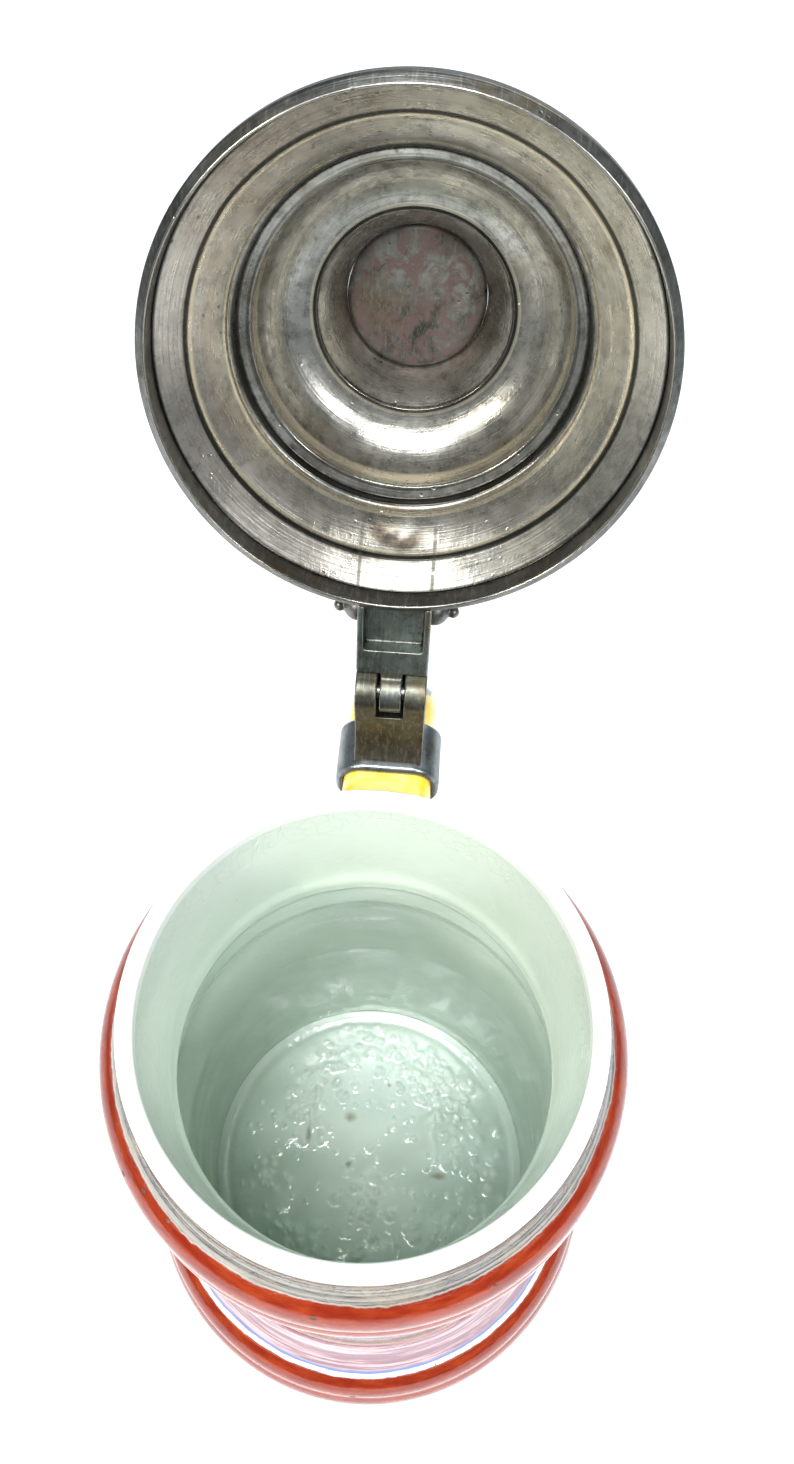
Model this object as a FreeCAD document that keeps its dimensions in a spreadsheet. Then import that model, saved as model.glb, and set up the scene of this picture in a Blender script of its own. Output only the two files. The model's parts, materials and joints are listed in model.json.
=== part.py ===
"""A half-litre porcelain beer stein with a hinged pewter lid, standing open on its hinge's stop.

Origin: centre of the foot, on the table.  +Z is up, and the handle and hinge are on the +Y side.
The lid's pieces are drawn closed on the rim, then turned open about the hinge.
"""
import FreeCAD, Part
import math
import os

import Sketcher

doc = FreeCAD.newDocument("stein")

# ---------------------------------------------------------------- driving dimensions, in millimetres

SIZES = [
    ("body_height", 150.0, "table to the crown of the lip"),
    ("rim_radius", 41.6, "outside of the lip"),
    ("lip_thick", 3.1, "lip, inside to outside"),
    ("throat_step", 2.3, "throat inside the lip's inner edge"),
    ("throat_drop", 33.0, "throat below the crown"),
    ("body_wall", 4.0, "wall of the body at the belly"),
    ("floor_height", 9.5, "top of the relief floor above the table"),
    ("panel_thick", 3.0, "relief floor panel"),
    ("panel_ledge", 5.0, "ledge under the panel's edge"),
    ("base_lift", 4.0, "underside of the base above the table"),
    ("foot_flare", 15.4, "crest of the foot's lower roll outside the lip"),
    ("foot_ring", 5.5, "standing ring, inside to outside"),
    ("foot_roll_low", 12.0, "height of the foot's lower roll"),
    ("foot_roll_high", 9.0, "height of the foot's upper roll"),
    ("belly_proud", 3.6, "wall above the flare of the foot, outside the lip"),
    ("belly_height", 55.0, "where the flare meets the wall"),
    ("waist_proud", 1.4, "wall under the upper band, outside the lip"),
    ("band_proud", 4.3, "valley between the band's two rolls, outside the lip"),
    ("band_drop", 11.5, "top of the band below the crown"),
    ("band_roll", 9.2, "height of each roll of the band"),
    ("handle_width", 18.6, "handle across"),
    ("handle_thick", 12.4, "handle through"),
    ("handle_corner", 4.6, "rounding of the handle's section"),
    ("handle_drop", 19.0, "top of the handle below the crown"),
    ("handle_reach", 20.9, "outermost of the handle behind the hinge pin"),
    ("handle_bend", 10.5, "centre line radius of the upper bend"),
    ("handle_run", 22.0, "upright part of the handle"),
    ("handle_sweep", 50.0, "centre line radius of the lower curve"),
    ("collar_lead", 9.0, "front of the collar ahead of the hinge pin"),
    ("collar_length", 12.4, "collar along the handle"),
    ("collar_thick", 1.5, "collar's wall"),
    ("collar_bevel", 0.7, "chamfer on the collar's ends"),
    ("hinge_reach", 22.0, "hinge pin outside the lip"),
    ("hinge_drop", 1.65, "hinge pin below the crown"),
    ("barrel_radius", 4.1, "knuckles' radius"),
    ("knuckle_width", 4.3, "each of the three knuckles"),
    ("knuckle_gap", 0.5, "between two knuckles"),
    ("pin_radius", 1.6, "hinge pin"),
    ("pin_clearance", 0.05, "pin to the lid's knuckle, on the radius"),
    ("plug_length", 1.1, "plug over each end of the pin"),
    ("stop_gap", 0.3, "open lid to its stop"),
    ("stop_length", 4.6, "length of the stop's face"),
    ("open_angle", 112.0, "lid's turn from closed to its stop"),
    ("shank_gap", 0.9, "knuckles to the shank's ledge"),
    ("shank_under", 1.2, "shank's underside below the pin's axis"),
    ("shank_top", 4.1, "shank's back above the pin's axis"),
    ("ledge_length", 5.2, "ledge along the shank"),
    ("channel_depth", 3.4, "hollow under the shank"),
    ("channel_wall", 1.3, "walls beside the hollow"),
    ("ring_wall", 1.9, "wall of the lid's ring"),
    ("skirt_clearance", 0.7, "inside of the lid's ring to the lip"),
    ("skirt_drop", 4.3, "ring's lower edge below the crown when closed"),
    ("seat_gap", 0.4, "lip to the lid when closed"),
    ("lid_wall", 1.7, "wall of the dome"),
    ("step_inset", 5.0, "small step in the flange, inside the ring"),
    ("step_rise", 5.4, "step above the seat"),
    ("bead_inset", 10.3, "rounded edge of the first shoulder, inside the ring"),
    ("bead_rise", 12.4, "that edge above the seat"),
    ("shoulder_inset", 13.9, "sharp edge of the first shoulder, inside the ring"),
    ("shoulder_rise", 16.2, "that edge above the seat"),
    ("neck_inset", 9.6, "ring at the top of the bulge, inside the shoulder"),
    ("neck_rise", 28.2, "that ring above the seat"),
    ("disc_inset", 5.4, "disc in the dome's top, inside the neck"),
    ("disc_rise", 37.8, "disc's underside above the seat"),
    ("disc_thick", 2.0, "disc"),
    ("finial_radius", 6.6, "widest of the finial's knob"),
    ("finial_height", 22.0, "finial above the disc"),
    ("thumb_place", 14.0, "front of the hinge pin to the thumblift"),
    ("thumb_thick", 3.4, "thumblift through"),
    ("thumb_height", 27.0, "top of the thumblift above the pin's axis"),
    ("thumb_width", 17.0, "head of the thumblift across"),
    ("lobe_radius", 3.0, "lobes at the thumblift's foot"),
    ("bead_ball", 1.25, "small balls outside the lobes"),
    ("foot_edge", 0.6, "small bevel under the foot"),
    ("foot_toe", 1.0, "that bevel inside the roll's crest"),
    ("foot_valley", 2.0, "valley between the foot's rolls, inside the crest"),
    ("foot_shoulder", 5.2, "top of the foot's upper roll, inside the crest"),
    ("foot_curve_low", 10.2, "curve of the foot's lower roll"),
    ("foot_curve_high", 6.48, "curve of the foot's upper roll"),
    ("base_taper", 4.0, "standing ring's inner side to its foot"),
    ("band_root", 1.6, "bottom of the band's lower roll, inside its valley"),
    ("band_step", 1.2, "step under the band"),
    ("band_crown", 1.8, "top of the band's upper roll, inside its valley"),
    ("band_curve_low", 5.704, "curve of the band's lower roll"),
    ("band_curve_high", 6.256, "curve of the band's upper roll"),
    ("throat_length", 4.0, "half the height of the throat's ring"),
    ("throat_lead", 0.25, "throat's upper edge, outside its radius"),
    ("throat_fall", 0.6, "throat's lower edge, outside its radius"),
    ("throat_curve", 10.0, "rounding of the throat"),
    ("inside_curve", 70.0, "swell of the wall under the throat"),
    ("handle_end", 78.0, "turn of the handle's lower curve"),
    ("handle_root", 1.0, "handle's upper end inside the lip's outside"),
    ("post_toe", 1.6, "post's foot behind the collar's front"),
    ("post_drop", 1.0, "top of the post's hollow face under the knuckles"),
    ("post_curve", 15.0, "hollow of the post's face"),
    ("ring_bevel", 1.3, "bevel on the ring's lower edge"),
    ("ring_lip", 0.4, "flat on the ring's lower edge"),
    ("ring_shoulder", 1.2, "top of the ring's wall under the seat"),
    ("ring_crown", 1.1, "top of the ring above the seat"),
    ("ring_ease", 0.9, "top of the ring inside its wall"),
    ("ring_curve", 2.4, "rounding of the ring's top"),
    ("ring_rise", 1.3, "ring joined to the dome this many walls up"),
    ("step_lead", 0.3, "half the width of the flange's step"),
    ("step_half", 0.5, "half the height of the flange's step"),
    ("slope_curve", 30.0, "curve of the slope above the step"),
    ("bead_curve", 1.1, "rounding of the bead inside"),
    ("bead_lead", 0.9, "bead's upper end inside the bead"),
    ("bead_height", 1.5, "height of the bead inside"),
    ("riser_lead", 1.2, "top of the riser inside the bead"),
    ("riser_drop", 0.6, "top of the riser under the shoulder"),
    ("bulge_curve", 11.0, "swell of the bulge inside"),
    ("neck_lead", 0.7, "width and height of the neck's ring"),
    ("neck_dip", 0.1, "inner edge of the neck's ring under its outer"),
    ("cone_curve", 24.0, "curve of the cone under the disc"),
    ("disc_rim", 2.0, "dome's top outside the disc"),
    ("tongue_back", 1.5, "end of the shank's tongue inside the step"),
    ("tongue_front", 0.5, "top of the shank's tongue outside the step"),
    ("tongue_high", 4.4, "top of the shank's tongue above the step"),
    ("tongue_low", 4.2, "end of the shank's tongue above the step"),
    ("tongue_foot", 2.0, "foot of the shank's tongue under the step"),
    ("shank_hump", 7.0, "length of the shank's rise from the ledge"),
    ("shank_rise", 1.0, "height of the shank's rise"),
    ("shank_curve", 24.0, "curve of the shank's back"),
    ("arm_top", 1.8, "top of the arm to the middle knuckle above the pin"),
    ("thumb_foot", 1.75, "thumblift's foot inside the shank's sides"),
    ("thumb_low", 3.0, "thumblift's foot above the pin"),
    ("thumb_lobes", 8.6, "thumblift's lobes above the pin"),
    ("thumb_waist", 14.5, "thumblift's waist above the pin"),
    ("thumb_neck", 2.6, "half the thumblift's waist"),
    ("thumb_head", 6.0, "thumblift's head, corners to top"),
    ("lobe_out", 0.4, "lobes outside the shank's sides"),
    ("lobe_curve", 9.0, "hollow above the lobes"),
    ("head_curve", 12.0, "hollow under the thumblift's head"),
    ("ball_gap", 0.7, "lobes to the small balls' centres"),
    ("ball_drop", 0.2, "small balls under the lobes"),
    ("cove_low", 1.3, "dome's outside at the foot of the first cove, outside the step"),
    ("cove_high", 0.5, "top of the bead there, inside the step"),
    ("rim_low", 1.4, "dome's outside beyond the bead and the shoulder"),
    ("rim_high", 0.6, "top of the bead and of the neck, outside them"),
    ("collar_low", 1.5, "foot of the neck's bead outside the neck"),
    ("step_bead", 1.8, "curve of the bead over the step"),
    ("step_cove", 18.0, "curve of the cove over it"),
    ("shoulder_bead", 2.0, "curve of the bead at the shoulder"),
    ("dome_curve", 12.0, "swell of the dome's outside"),
    ("neck_bead", 1.4, "curve of the bead at the neck"),
    ("crown_cove", 22.0, "cove under the dome's top"),
]


def make_sheet():
    """The spreadsheet of driving dimensions: a note, a number and an alias on each row."""
    sheet_object = doc.addObject("Spreadsheet::Sheet", "sizes")
    for row, (alias, number, note) in enumerate(SIZES, start=1):
        sheet_object.set(f"A{row}", note)
        sheet_object.set(f"B{row}", str(number))
        sheet_object.setAlias(f"B{row}", alias)
    doc.recompute()
    return sheet_object


sheet = make_sheet()


def value(expression):
    """The number that an expression on the sheet comes to."""
    return float(sheet.evalExpression(expression))


# ------------------------------------------------------------------------ places worked out from them

CROWN = "sizes.body_height"
HANDLE_MID = "(sizes.body_height - sizes.handle_drop - sizes.handle_thick / 2)"
HINGE_Y = "(sizes.rim_radius + sizes.hinge_reach)"
HANDLE_BACK = f"({HINGE_Y} + sizes.handle_reach - sizes.handle_thick / 2)"
COLLAR_FRONT = f"({HINGE_Y} - sizes.collar_lead)"
HINGE_Z = "(sizes.body_height - sizes.hinge_drop)"
HINGE_WIDTH = "(3 * sizes.knuckle_width + 2 * sizes.knuckle_gap)"
SHANK_START = "(sizes.barrel_radius + sizes.shank_gap)"
SEAT = "(sizes.body_height + sizes.seat_gap)"
LIP_INSIDE = "(sizes.rim_radius - sizes.lip_thick)"
LIP_FOOT = "(sizes.body_height - sizes.lip_thick)"
LIP_MIDDLE = "(sizes.body_height - sizes.lip_thick / 2)"
THROAT = f"({LIP_INSIDE} - sizes.throat_step)"
BELLY = "(sizes.rim_radius + sizes.belly_proud)"
WAIST = "(sizes.rim_radius + sizes.waist_proud)"
BAND = "(sizes.rim_radius + sizes.band_proud)"
FOOT = "(sizes.rim_radius + sizes.foot_flare)"
FLOOR = f"({BELLY} - sizes.body_wall)"
SKIRT = "(sizes.rim_radius + sizes.skirt_clearance)"
LID_EDGE = f"({SKIRT} + sizes.ring_wall)"
STEP = f"({SKIRT} - sizes.step_inset)"
BEAD = f"({SKIRT} - sizes.bead_inset)"
SHOULDER = f"({SKIRT} - sizes.shoulder_inset)"
NECK = f"({SHOULDER} - sizes.neck_inset)"
DISC = f"({NECK} - sizes.disc_inset)"
DISC_TOP = f"({SEAT} + sizes.disc_rise + sizes.disc_thick)"
COLLAR_TOP = "(sizes.body_height - sizes.handle_drop + sizes.collar_thick)"


def ahead(distance):
    """Y of a place this far in front of the hinge pin, towards the mug."""
    return f"({HINGE_Y} - ({distance}))"


def above_pin(height):
    """Z of a place this far above the hinge pin, with the lid closed."""
    return f"({HINGE_Z} + ({height}))"


def above_seat(height):
    """Z of a place this far above the lid's seat on the lip, with the lid closed."""
    return f"({SEAT} + ({height}))"


# ------------------------------------------------------------------------------- sketches and features


def arc_between(start, end, side, radius):
    """The short arc from start to end with its centre on the left or right of the way along."""
    chord = end - start
    half = chord.Length / 2
    left = FreeCAD.Vector(-chord.y, chord.x, 0).normalize()
    offset = math.sqrt(radius * radius - half * half)
    centre = (start + end) * 0.5 + left * (offset if side == "left" else -offset)
    first, last = (start, end) if side == "left" else (end, start)
    circle = Part.Circle(centre, FreeCAD.Vector(0, 0, 1), radius)
    angles = [math.atan2(point.y - centre.y, point.x - centre.x) for point in (first, last)]
    return Part.ArcOfCircle(circle, angles[0], angles[1])


def bind(sketch, kind, geometry, size, name):
    """Adds a dimension to a sketch and ties it to the sheet."""
    number = sketch.addConstraint(Sketcher.Constraint(kind, *geometry, value(size)))
    sketch.renameConstraint(number, name)
    sketch.setExpression(f"Constraints.{name}", size)


def pin_point(sketch, geometry, point, place, name):
    """Holds a sketch point at (x, y) from the origin, on an axis where the coordinate is 0."""
    for kind, axis, coordinate in (("DistanceX", -2, place[0]), ("DistanceY", -1, place[1])):
        if coordinate == "0":
            sketch.addConstraint(Sketcher.Constraint("PointOnObject", geometry, point, axis))
        else:
            bind(sketch, kind, (-1, 1, geometry, point), coordinate, f"{name}_{kind[-1]}")


def outline(sketch, vertices, closed=True):
    """Draws lines and arcs through vertices.

    A vertex is (x, y) when a line leaves it, or (x, y, side, radius) when an arc does.
    """
    places = [FreeCAD.Vector(value(vertex[0]), value(vertex[1]), 0) for vertex in vertices]
    count = len(vertices) if closed else len(vertices) - 1
    ends = []
    for index in range(count):
        start, end = places[index], places[(index + 1) % len(places)]
        if len(vertices[index]) == 2:
            geometry = sketch.addGeometry(Part.LineSegment(start, end), False)
            ends.append((geometry, 1, 2))
            continue
        side, radius = vertices[index][2:]
        geometry = sketch.addGeometry(arc_between(start, end, side, value(radius)), False)
        bind(sketch, "Radius", (geometry,), radius, f"arc{geometry}")
        ends.append((geometry, 1, 2) if side == "left" else (geometry, 2, 1))
    for index in range(count):
        geometry, start_point, end_point = ends[index]
        pin_point(sketch, geometry, start_point, vertices[index], f"vertex{geometry}")
        if closed or index < count - 1:
            following = ends[(index + 1) % count]
            joint = Sketcher.Constraint("Coincident", geometry, end_point, following[0], following[1])
            sketch.addConstraint(joint)
        else:
            pin_point(sketch, geometry, end_point, vertices[-1], "last")


def circle(sketch, place, radius, name="round"):
    """Draws a circle with its centre at (x, y)."""
    centre = FreeCAD.Vector(value(place[0]), value(place[1]), 0)
    geometry = sketch.addGeometry(Part.Circle(centre, FreeCAD.Vector(0, 0, 1), value(radius)), False)
    pin_point(sketch, geometry, 3, place, f"{name}_centre")
    bind(sketch, "Radius", (geometry,), radius, f"{name}_radius")


def rounded_section(sketch, grow="0"):
    """The handle's rounded section in the XZ plane, grown outwards by a wall."""
    half = f"(sizes.handle_width / 2 + {grow})"
    corner = f"(sizes.handle_corner + {grow})"
    low = f"({HANDLE_MID} - sizes.handle_thick / 2 - {grow})"
    high = f"({HANDLE_MID} + sizes.handle_thick / 2 + {grow})"
    outline(
        sketch,
        [
            (f"{corner} - {half}", low),
            (f"{half} - {corner}", low, "left", corner),
            (half, f"{low} + {corner}"),
            (half, f"{high} - {corner}", "left", corner),
            (f"{half} - {corner}", high),
            (f"{corner} - {half}", high, "left", corner),
            (f"-{half}", f"{high} - {corner}"),
            (f"-{half}", f"{low} + {corner}", "left", corner),
        ],
    )


def new_body(name):
    """A new sub-part: a body whose label names its file."""
    body = doc.addObject("PartDesign::Body", name)
    body.Label = name
    return body


def new_sketch(body, name, plane, offset=None):
    """A sketch on one of its body's origin planes, moved along the plane's normal by offset."""
    sketch = body.newObject("Sketcher::SketchObject", f"{body.Name}_{name}")
    support = next(feature for feature in body.Origin.OriginFeatures if feature.Role == plane)
    sketch.AttachmentSupport = [(support, "")]
    sketch.MapMode = "FlatFace"
    if offset:
        sketch.setExpression("AttachmentOffset.Base.z", offset)
    return sketch


def body_volume(body):
    """Volume of a body as far as it is built."""
    doc.recompute()
    return body.Shape.Volume


def revolve(body, sketch):
    """A full turn of a sketch about its own upright axis."""
    feature = body.newObject("PartDesign::Revolution", f"{sketch.Name}_turned")
    feature.Profile = sketch
    feature.ReferenceAxis = (sketch, ["V_Axis"])
    feature.Angle = 360
    doc.recompute()
    return feature


def groove(body, sketch):
    """Cuts a full turn of a sketch about its own upright axis."""
    before = body_volume(body)
    feature = body.newObject("PartDesign::Groove", f"{sketch.Name}_cut")
    feature.Profile = sketch
    feature.ReferenceAxis = (sketch, ["V_Axis"])
    feature.Angle = 360
    check_cut(body, feature, before)


def pad(body, sketch, length, symmetric=True, reverse=False):
    """Adds a sketch's extrusion, to both sides of its plane unless told otherwise."""
    feature = body.newObject("PartDesign::Pad", f"{sketch.Name}_pad")
    feature.Profile = sketch
    feature.SideType = "Symmetric" if symmetric else "One side"
    feature.Reversed = reverse
    feature.setExpression("Length", length)
    doc.recompute()
    return feature


def pocket(body, sketch, length):
    """Cuts a sketch's extrusion to both sides of its plane."""
    before = body_volume(body)
    feature = body.newObject("PartDesign::Pocket", f"{sketch.Name}_cut")
    feature.Profile = sketch
    feature.SideType = "Symmetric"
    feature.setExpression("Length", length)
    check_cut(body, feature, before)


def check_cut(body, feature, before):
    """Stops the build when a cut has missed its solid."""
    if not body_volume(body) < before - 1e-6:
        raise RuntimeError(f"{feature.Name} cuts nothing")


def turn_open(piece):
    """Turns a lid piece from closed to open about the hinge pin."""
    angle = "sizes.open_angle"
    piece.Placement = FreeCAD.Placement(
        FreeCAD.Vector(0, 0, 0), FreeCAD.Rotation(FreeCAD.Vector(-1, 0, 0), value(angle))
    )
    piece.setExpression("Placement.Rotation.Angle", angle)
    turned_y = f"({HINGE_Y} * cos({angle}) + {HINGE_Z} * sin({angle}))"
    turned_z = f"({HINGE_Z} * cos({angle}) - {HINGE_Y} * sin({angle}))"
    piece.setExpression("Placement.Base.y", f"{HINGE_Y} - {turned_y}")
    piece.setExpression("Placement.Base.z", f"{HINGE_Z} - {turned_z}")


# --------------------------------------------------------------------------------------- the porcelain


def mug_outside():
    """The mug's outside from the standing ring up to the outer edge of the lip."""
    belt = "(sizes.body_height - sizes.band_drop)"
    return [
        (f"{FOOT} - sizes.foot_toe - sizes.foot_edge", "0"),
        (f"{FOOT} - sizes.foot_toe", "sizes.foot_edge", "left", "sizes.foot_curve_low"),
        (f"{FOOT} - sizes.foot_valley", "sizes.foot_roll_low", "left", "sizes.foot_curve_high"),
        (
            f"{FOOT} - sizes.foot_shoulder",
            "sizes.foot_roll_low + sizes.foot_roll_high",
            "right",
            "sizes.belly_height",
        ),
        (BELLY, "sizes.belly_height"),
        (WAIST, f"{belt} - 2 * sizes.band_roll - sizes.band_step"),
        (f"{BAND} - sizes.band_root", f"{belt} - 2 * sizes.band_roll", "left", "sizes.band_curve_low"),
        (BAND, f"{belt} - sizes.band_roll", "left", "sizes.band_curve_high"),
        (f"{BAND} - sizes.band_crown", belt, "right", "sizes.band_drop"),
        ("sizes.rim_radius", LIP_FOOT),
        ("sizes.rim_radius", LIP_MIDDLE),
    ]


def mug_inside():
    """The mug's inside from the inner edge of the lip down to the ledge under the relief floor."""
    throat = "(sizes.body_height - sizes.throat_drop)"
    ledge = "(sizes.floor_height - sizes.panel_thick)"
    return [
        (LIP_INSIDE, LIP_MIDDLE),
        (LIP_INSIDE, LIP_FOOT),
        (f"{THROAT} + sizes.throat_lead", f"{throat} + sizes.throat_length", "left", "sizes.throat_curve"),
        (f"{THROAT} + sizes.throat_fall", f"{throat} - sizes.throat_length"),
        (f"({THROAT} + {FLOOR}) / 2", f"{throat} - sizes.throat_drop / 2", "right", "sizes.inside_curve"),
        (FLOOR, f"{throat} - 1.6 * sizes.throat_drop"),
        (FLOOR, ledge),
        (f"{FLOOR} - sizes.panel_ledge", ledge),
        (f"{FLOOR} - sizes.panel_ledge", "sizes.base_lift"),
        (f"{FOOT} - sizes.foot_ring - sizes.base_taper", "sizes.base_lift"),
        (f"{FOOT} - sizes.foot_toe - sizes.foot_edge - sizes.foot_ring", "0"),
    ]


def make_mug_body():
    """The thrown body: flared foot, upright wall, double band and a full round lip."""
    body = new_body("mug_body")
    sketch = new_sketch(body, "profile", "XZ_Plane")
    half_lip = "sizes.lip_thick / 2"
    outside = mug_outside()
    outside[-1] = (*outside[-1], "left", half_lip)
    crown = (f"sizes.rim_radius - {half_lip}", CROWN, "left", half_lip)
    outline(sketch, outside + [crown] + mug_inside())
    revolve(body, sketch)
    return body


def make_lithophane():
    """The relief floor: a moulded panel let into the base."""
    panel = doc.addObject("Part::Cylinder", "lithophane_panel")
    panel.Label = "lithophane_panel"
    panel.setExpression("Radius", FLOOR)
    panel.setExpression("Height", "sizes.panel_thick")
    panel.setExpression("Placement.Base.z", "sizes.floor_height - sizes.panel_thick")
    return panel


def make_handle():
    """The handle: one section along a centre line, its ends scribed to the mug's outside."""
    body = new_body("handle")
    root = "sizes.rim_radius - sizes.handle_root"
    path = new_sketch(body, "path", "YZ_Plane")
    low_bend = f"({HANDLE_MID} - sizes.handle_bend - sizes.handle_run)"
    outline(
        path,
        [
            (root, HANDLE_MID),
            (f"{HANDLE_BACK} - sizes.handle_bend", HANDLE_MID, "right", "sizes.handle_bend"),
            (HANDLE_BACK, f"{HANDLE_MID} - sizes.handle_bend"),
            (HANDLE_BACK, low_bend, "right", "sizes.handle_sweep"),
            (
                f"{HANDLE_BACK} - sizes.handle_sweep * (1 - cos(sizes.handle_end))",
                f"{low_bend} - sizes.handle_sweep * sin(sizes.handle_end)",
            ),
        ],
        closed=False,
    )
    section = new_sketch(body, "section", "XZ_Plane", f"-({root})")
    rounded_section(section)
    doc.recompute()
    pipe = body.newObject("PartDesign::AdditivePipe", "handle_pipe")
    pipe.Profile = section
    pipe.Spine = (path, [])
    envelope = new_sketch(body, "envelope", "XZ_Plane")
    outline(envelope, [("0", "0")] + mug_outside() + [("0", LIP_MIDDLE)])
    groove(body, envelope)
    return body


# --------------------------------------------------------------------------- the pewter on the handle


def make_handle_collar():
    """The strap that wraps the handle under the hinge."""
    body = new_body("handle_collar")
    sketch = new_sketch(body, "outside", "XZ_Plane", f"-{COLLAR_FRONT}")
    rounded_section(sketch, "sizes.collar_thick")
    block = pad(body, sketch, "sizes.collar_length", symmetric=False, reverse=True)
    ends = [face for face in block.Shape.Faces if abs(face.normalAt(0, 0).y) > 0.99]
    borders = [border for face in ends for border in face.Edges]
    names = [
        f"Edge{number}"
        for number, edge in enumerate(block.Shape.Edges, start=1)
        if any(edge.isSame(border) for border in borders)
    ]
    chamfer = body.newObject("PartDesign::Chamfer", "handle_collar_bevel")
    chamfer.Base = (block, names)
    chamfer.setExpression("Size", "sizes.collar_bevel")
    hole = new_sketch(body, "inside", "XZ_Plane", f"-({COLLAR_FRONT} + sizes.collar_length / 2)")
    rounded_section(hole)
    pocket(body, hole, "sizes.collar_length * 2")
    return body


def make_hinge_post():
    """The post on the collar, with the two outer knuckles, the slot between them and the lid's stop."""
    body = new_body("hinge_post")
    front = ahead("sizes.barrel_radius")
    toe = f"({COLLAR_FRONT} + sizes.post_toe)"
    heel = f"({COLLAR_FRONT} + sizes.collar_length)"
    lean = "(sizes.open_angle - 90)"
    stop = f"({SHANK_START} - sizes.stop_gap)"
    stop_front_y = f"{HINGE_Y} + {stop} * sin({lean})"
    stop_front_z = f"{HINGE_Z} + {stop} * cos({lean})"
    stop_back_y = f"{stop_front_y} + sizes.stop_length * cos({lean})"
    stop_back_z = f"{stop_front_z} - sizes.stop_length * sin({lean})"
    side = new_sketch(body, "side", "YZ_Plane")
    outline(
        side,
        [
            (front, HINGE_Z),
            (front, f"{HINGE_Z} - sizes.barrel_radius - sizes.post_drop", "right", "sizes.post_curve"),
            (toe, COLLAR_TOP),
            (toe, HANDLE_MID),
            (heel, HANDLE_MID),
            (heel, COLLAR_TOP),
            (stop_back_y, f"{HINGE_Z} - sizes.barrel_radius * 2"),
            (stop_back_y, stop_back_z),
            (stop_front_y, stop_front_z),
            (HINGE_Y, f"{HINGE_Z} + sizes.barrel_radius", "left", "sizes.barrel_radius"),
        ],
    )
    pad(body, side, HINGE_WIDTH)
    saddle = new_sketch(body, "saddle", "XZ_Plane", f"-{HINGE_Y}")
    rounded_section(saddle, "sizes.collar_thick")
    pocket(body, saddle, "sizes.collar_length * 3")
    slot = new_sketch(body, "slot", "YZ_Plane")
    circle(slot, (HINGE_Y, HINGE_Z), f"{SHANK_START} + sizes.stop_gap")
    pocket(body, slot, "sizes.knuckle_width + 2 * sizes.knuckle_gap")
    bore = new_sketch(body, "bore", "YZ_Plane")
    circle(bore, (HINGE_Y, HINGE_Z), "sizes.pin_radius")
    pocket(body, bore, f"{HINGE_WIDTH} + 2")
    return body


def make_rod(name, start, length):
    """A round rod along X on the hinge's axis."""
    rod = doc.addObject("Part::Cylinder", name)
    rod.Label = name
    rod.Placement = FreeCAD.Placement(
        FreeCAD.Vector(0, 0, 0), FreeCAD.Rotation(FreeCAD.Vector(0, 1, 0), 90)
    )
    rod.setExpression("Radius", "sizes.pin_radius")
    rod.setExpression("Height", length)
    rod.setExpression("Placement.Base.x", start)
    rod.setExpression("Placement.Base.y", HINGE_Y)
    rod.setExpression("Placement.Base.z", HINGE_Z)
    return rod


def make_pin_and_plugs():
    """The hinge pin, and the plugs that close its hole at both ends."""
    end = f"({HINGE_WIDTH} / 2)"
    pin_length = f"{HINGE_WIDTH} - 2 * sizes.plug_length"
    return [
        make_rod("hinge_pin", f"sizes.plug_length - {end}", pin_length),
        make_rod("pin_plug_left", f"-{end}", "sizes.plug_length"),
        make_rod("pin_plug_right", f"{end} - sizes.plug_length", "sizes.plug_length"),
    ]


# ------------------------------------------------------------------------------------- the pewter lid


def lid_ring_outside():
    """Outside of the ring round the lid, from its lower edge to its top."""
    low = "(sizes.body_height - sizes.skirt_drop)"
    return [
        (f"{SKIRT} + sizes.ring_lip", low),
        (LID_EDGE, f"{low} + sizes.ring_bevel"),
        (LID_EDGE, above_seat("-sizes.ring_shoulder"), "left", "sizes.ring_curve"),
        (f"{LID_EDGE} - sizes.ring_ease", above_seat("sizes.ring_crown")),
    ]


def dome_inside():
    """Inside of the dome from the ring up to the disc, as it shows when the lid is open."""
    riser_foot = f"{BEAD} - sizes.bead_lead"
    neck_inside = f"{NECK} - sizes.neck_lead"
    return [
        (SKIRT, SEAT),
        (f"{STEP} + sizes.step_lead", above_seat("sizes.step_rise - sizes.step_half")),
        (
            f"{STEP} - sizes.step_lead",
            above_seat("sizes.step_rise + sizes.step_half"),
            "right",
            "sizes.slope_curve",
        ),
        (BEAD, above_seat("sizes.bead_rise"), "left", "sizes.bead_curve"),
        (riser_foot, above_seat("sizes.bead_rise + sizes.bead_height")),
        (f"{BEAD} - sizes.riser_lead", above_seat("sizes.shoulder_rise - sizes.riser_drop")),
        (SHOULDER, above_seat("sizes.shoulder_rise"), "left", "sizes.bulge_curve"),
        (NECK, above_seat("sizes.neck_rise")),
        (neck_inside, above_seat("sizes.neck_rise - sizes.neck_dip")),
        (neck_inside, above_seat("sizes.neck_rise + sizes.neck_lead"), "right", "sizes.cone_curve"),
        (DISC, above_seat("sizes.disc_rise")),
    ]


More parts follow.
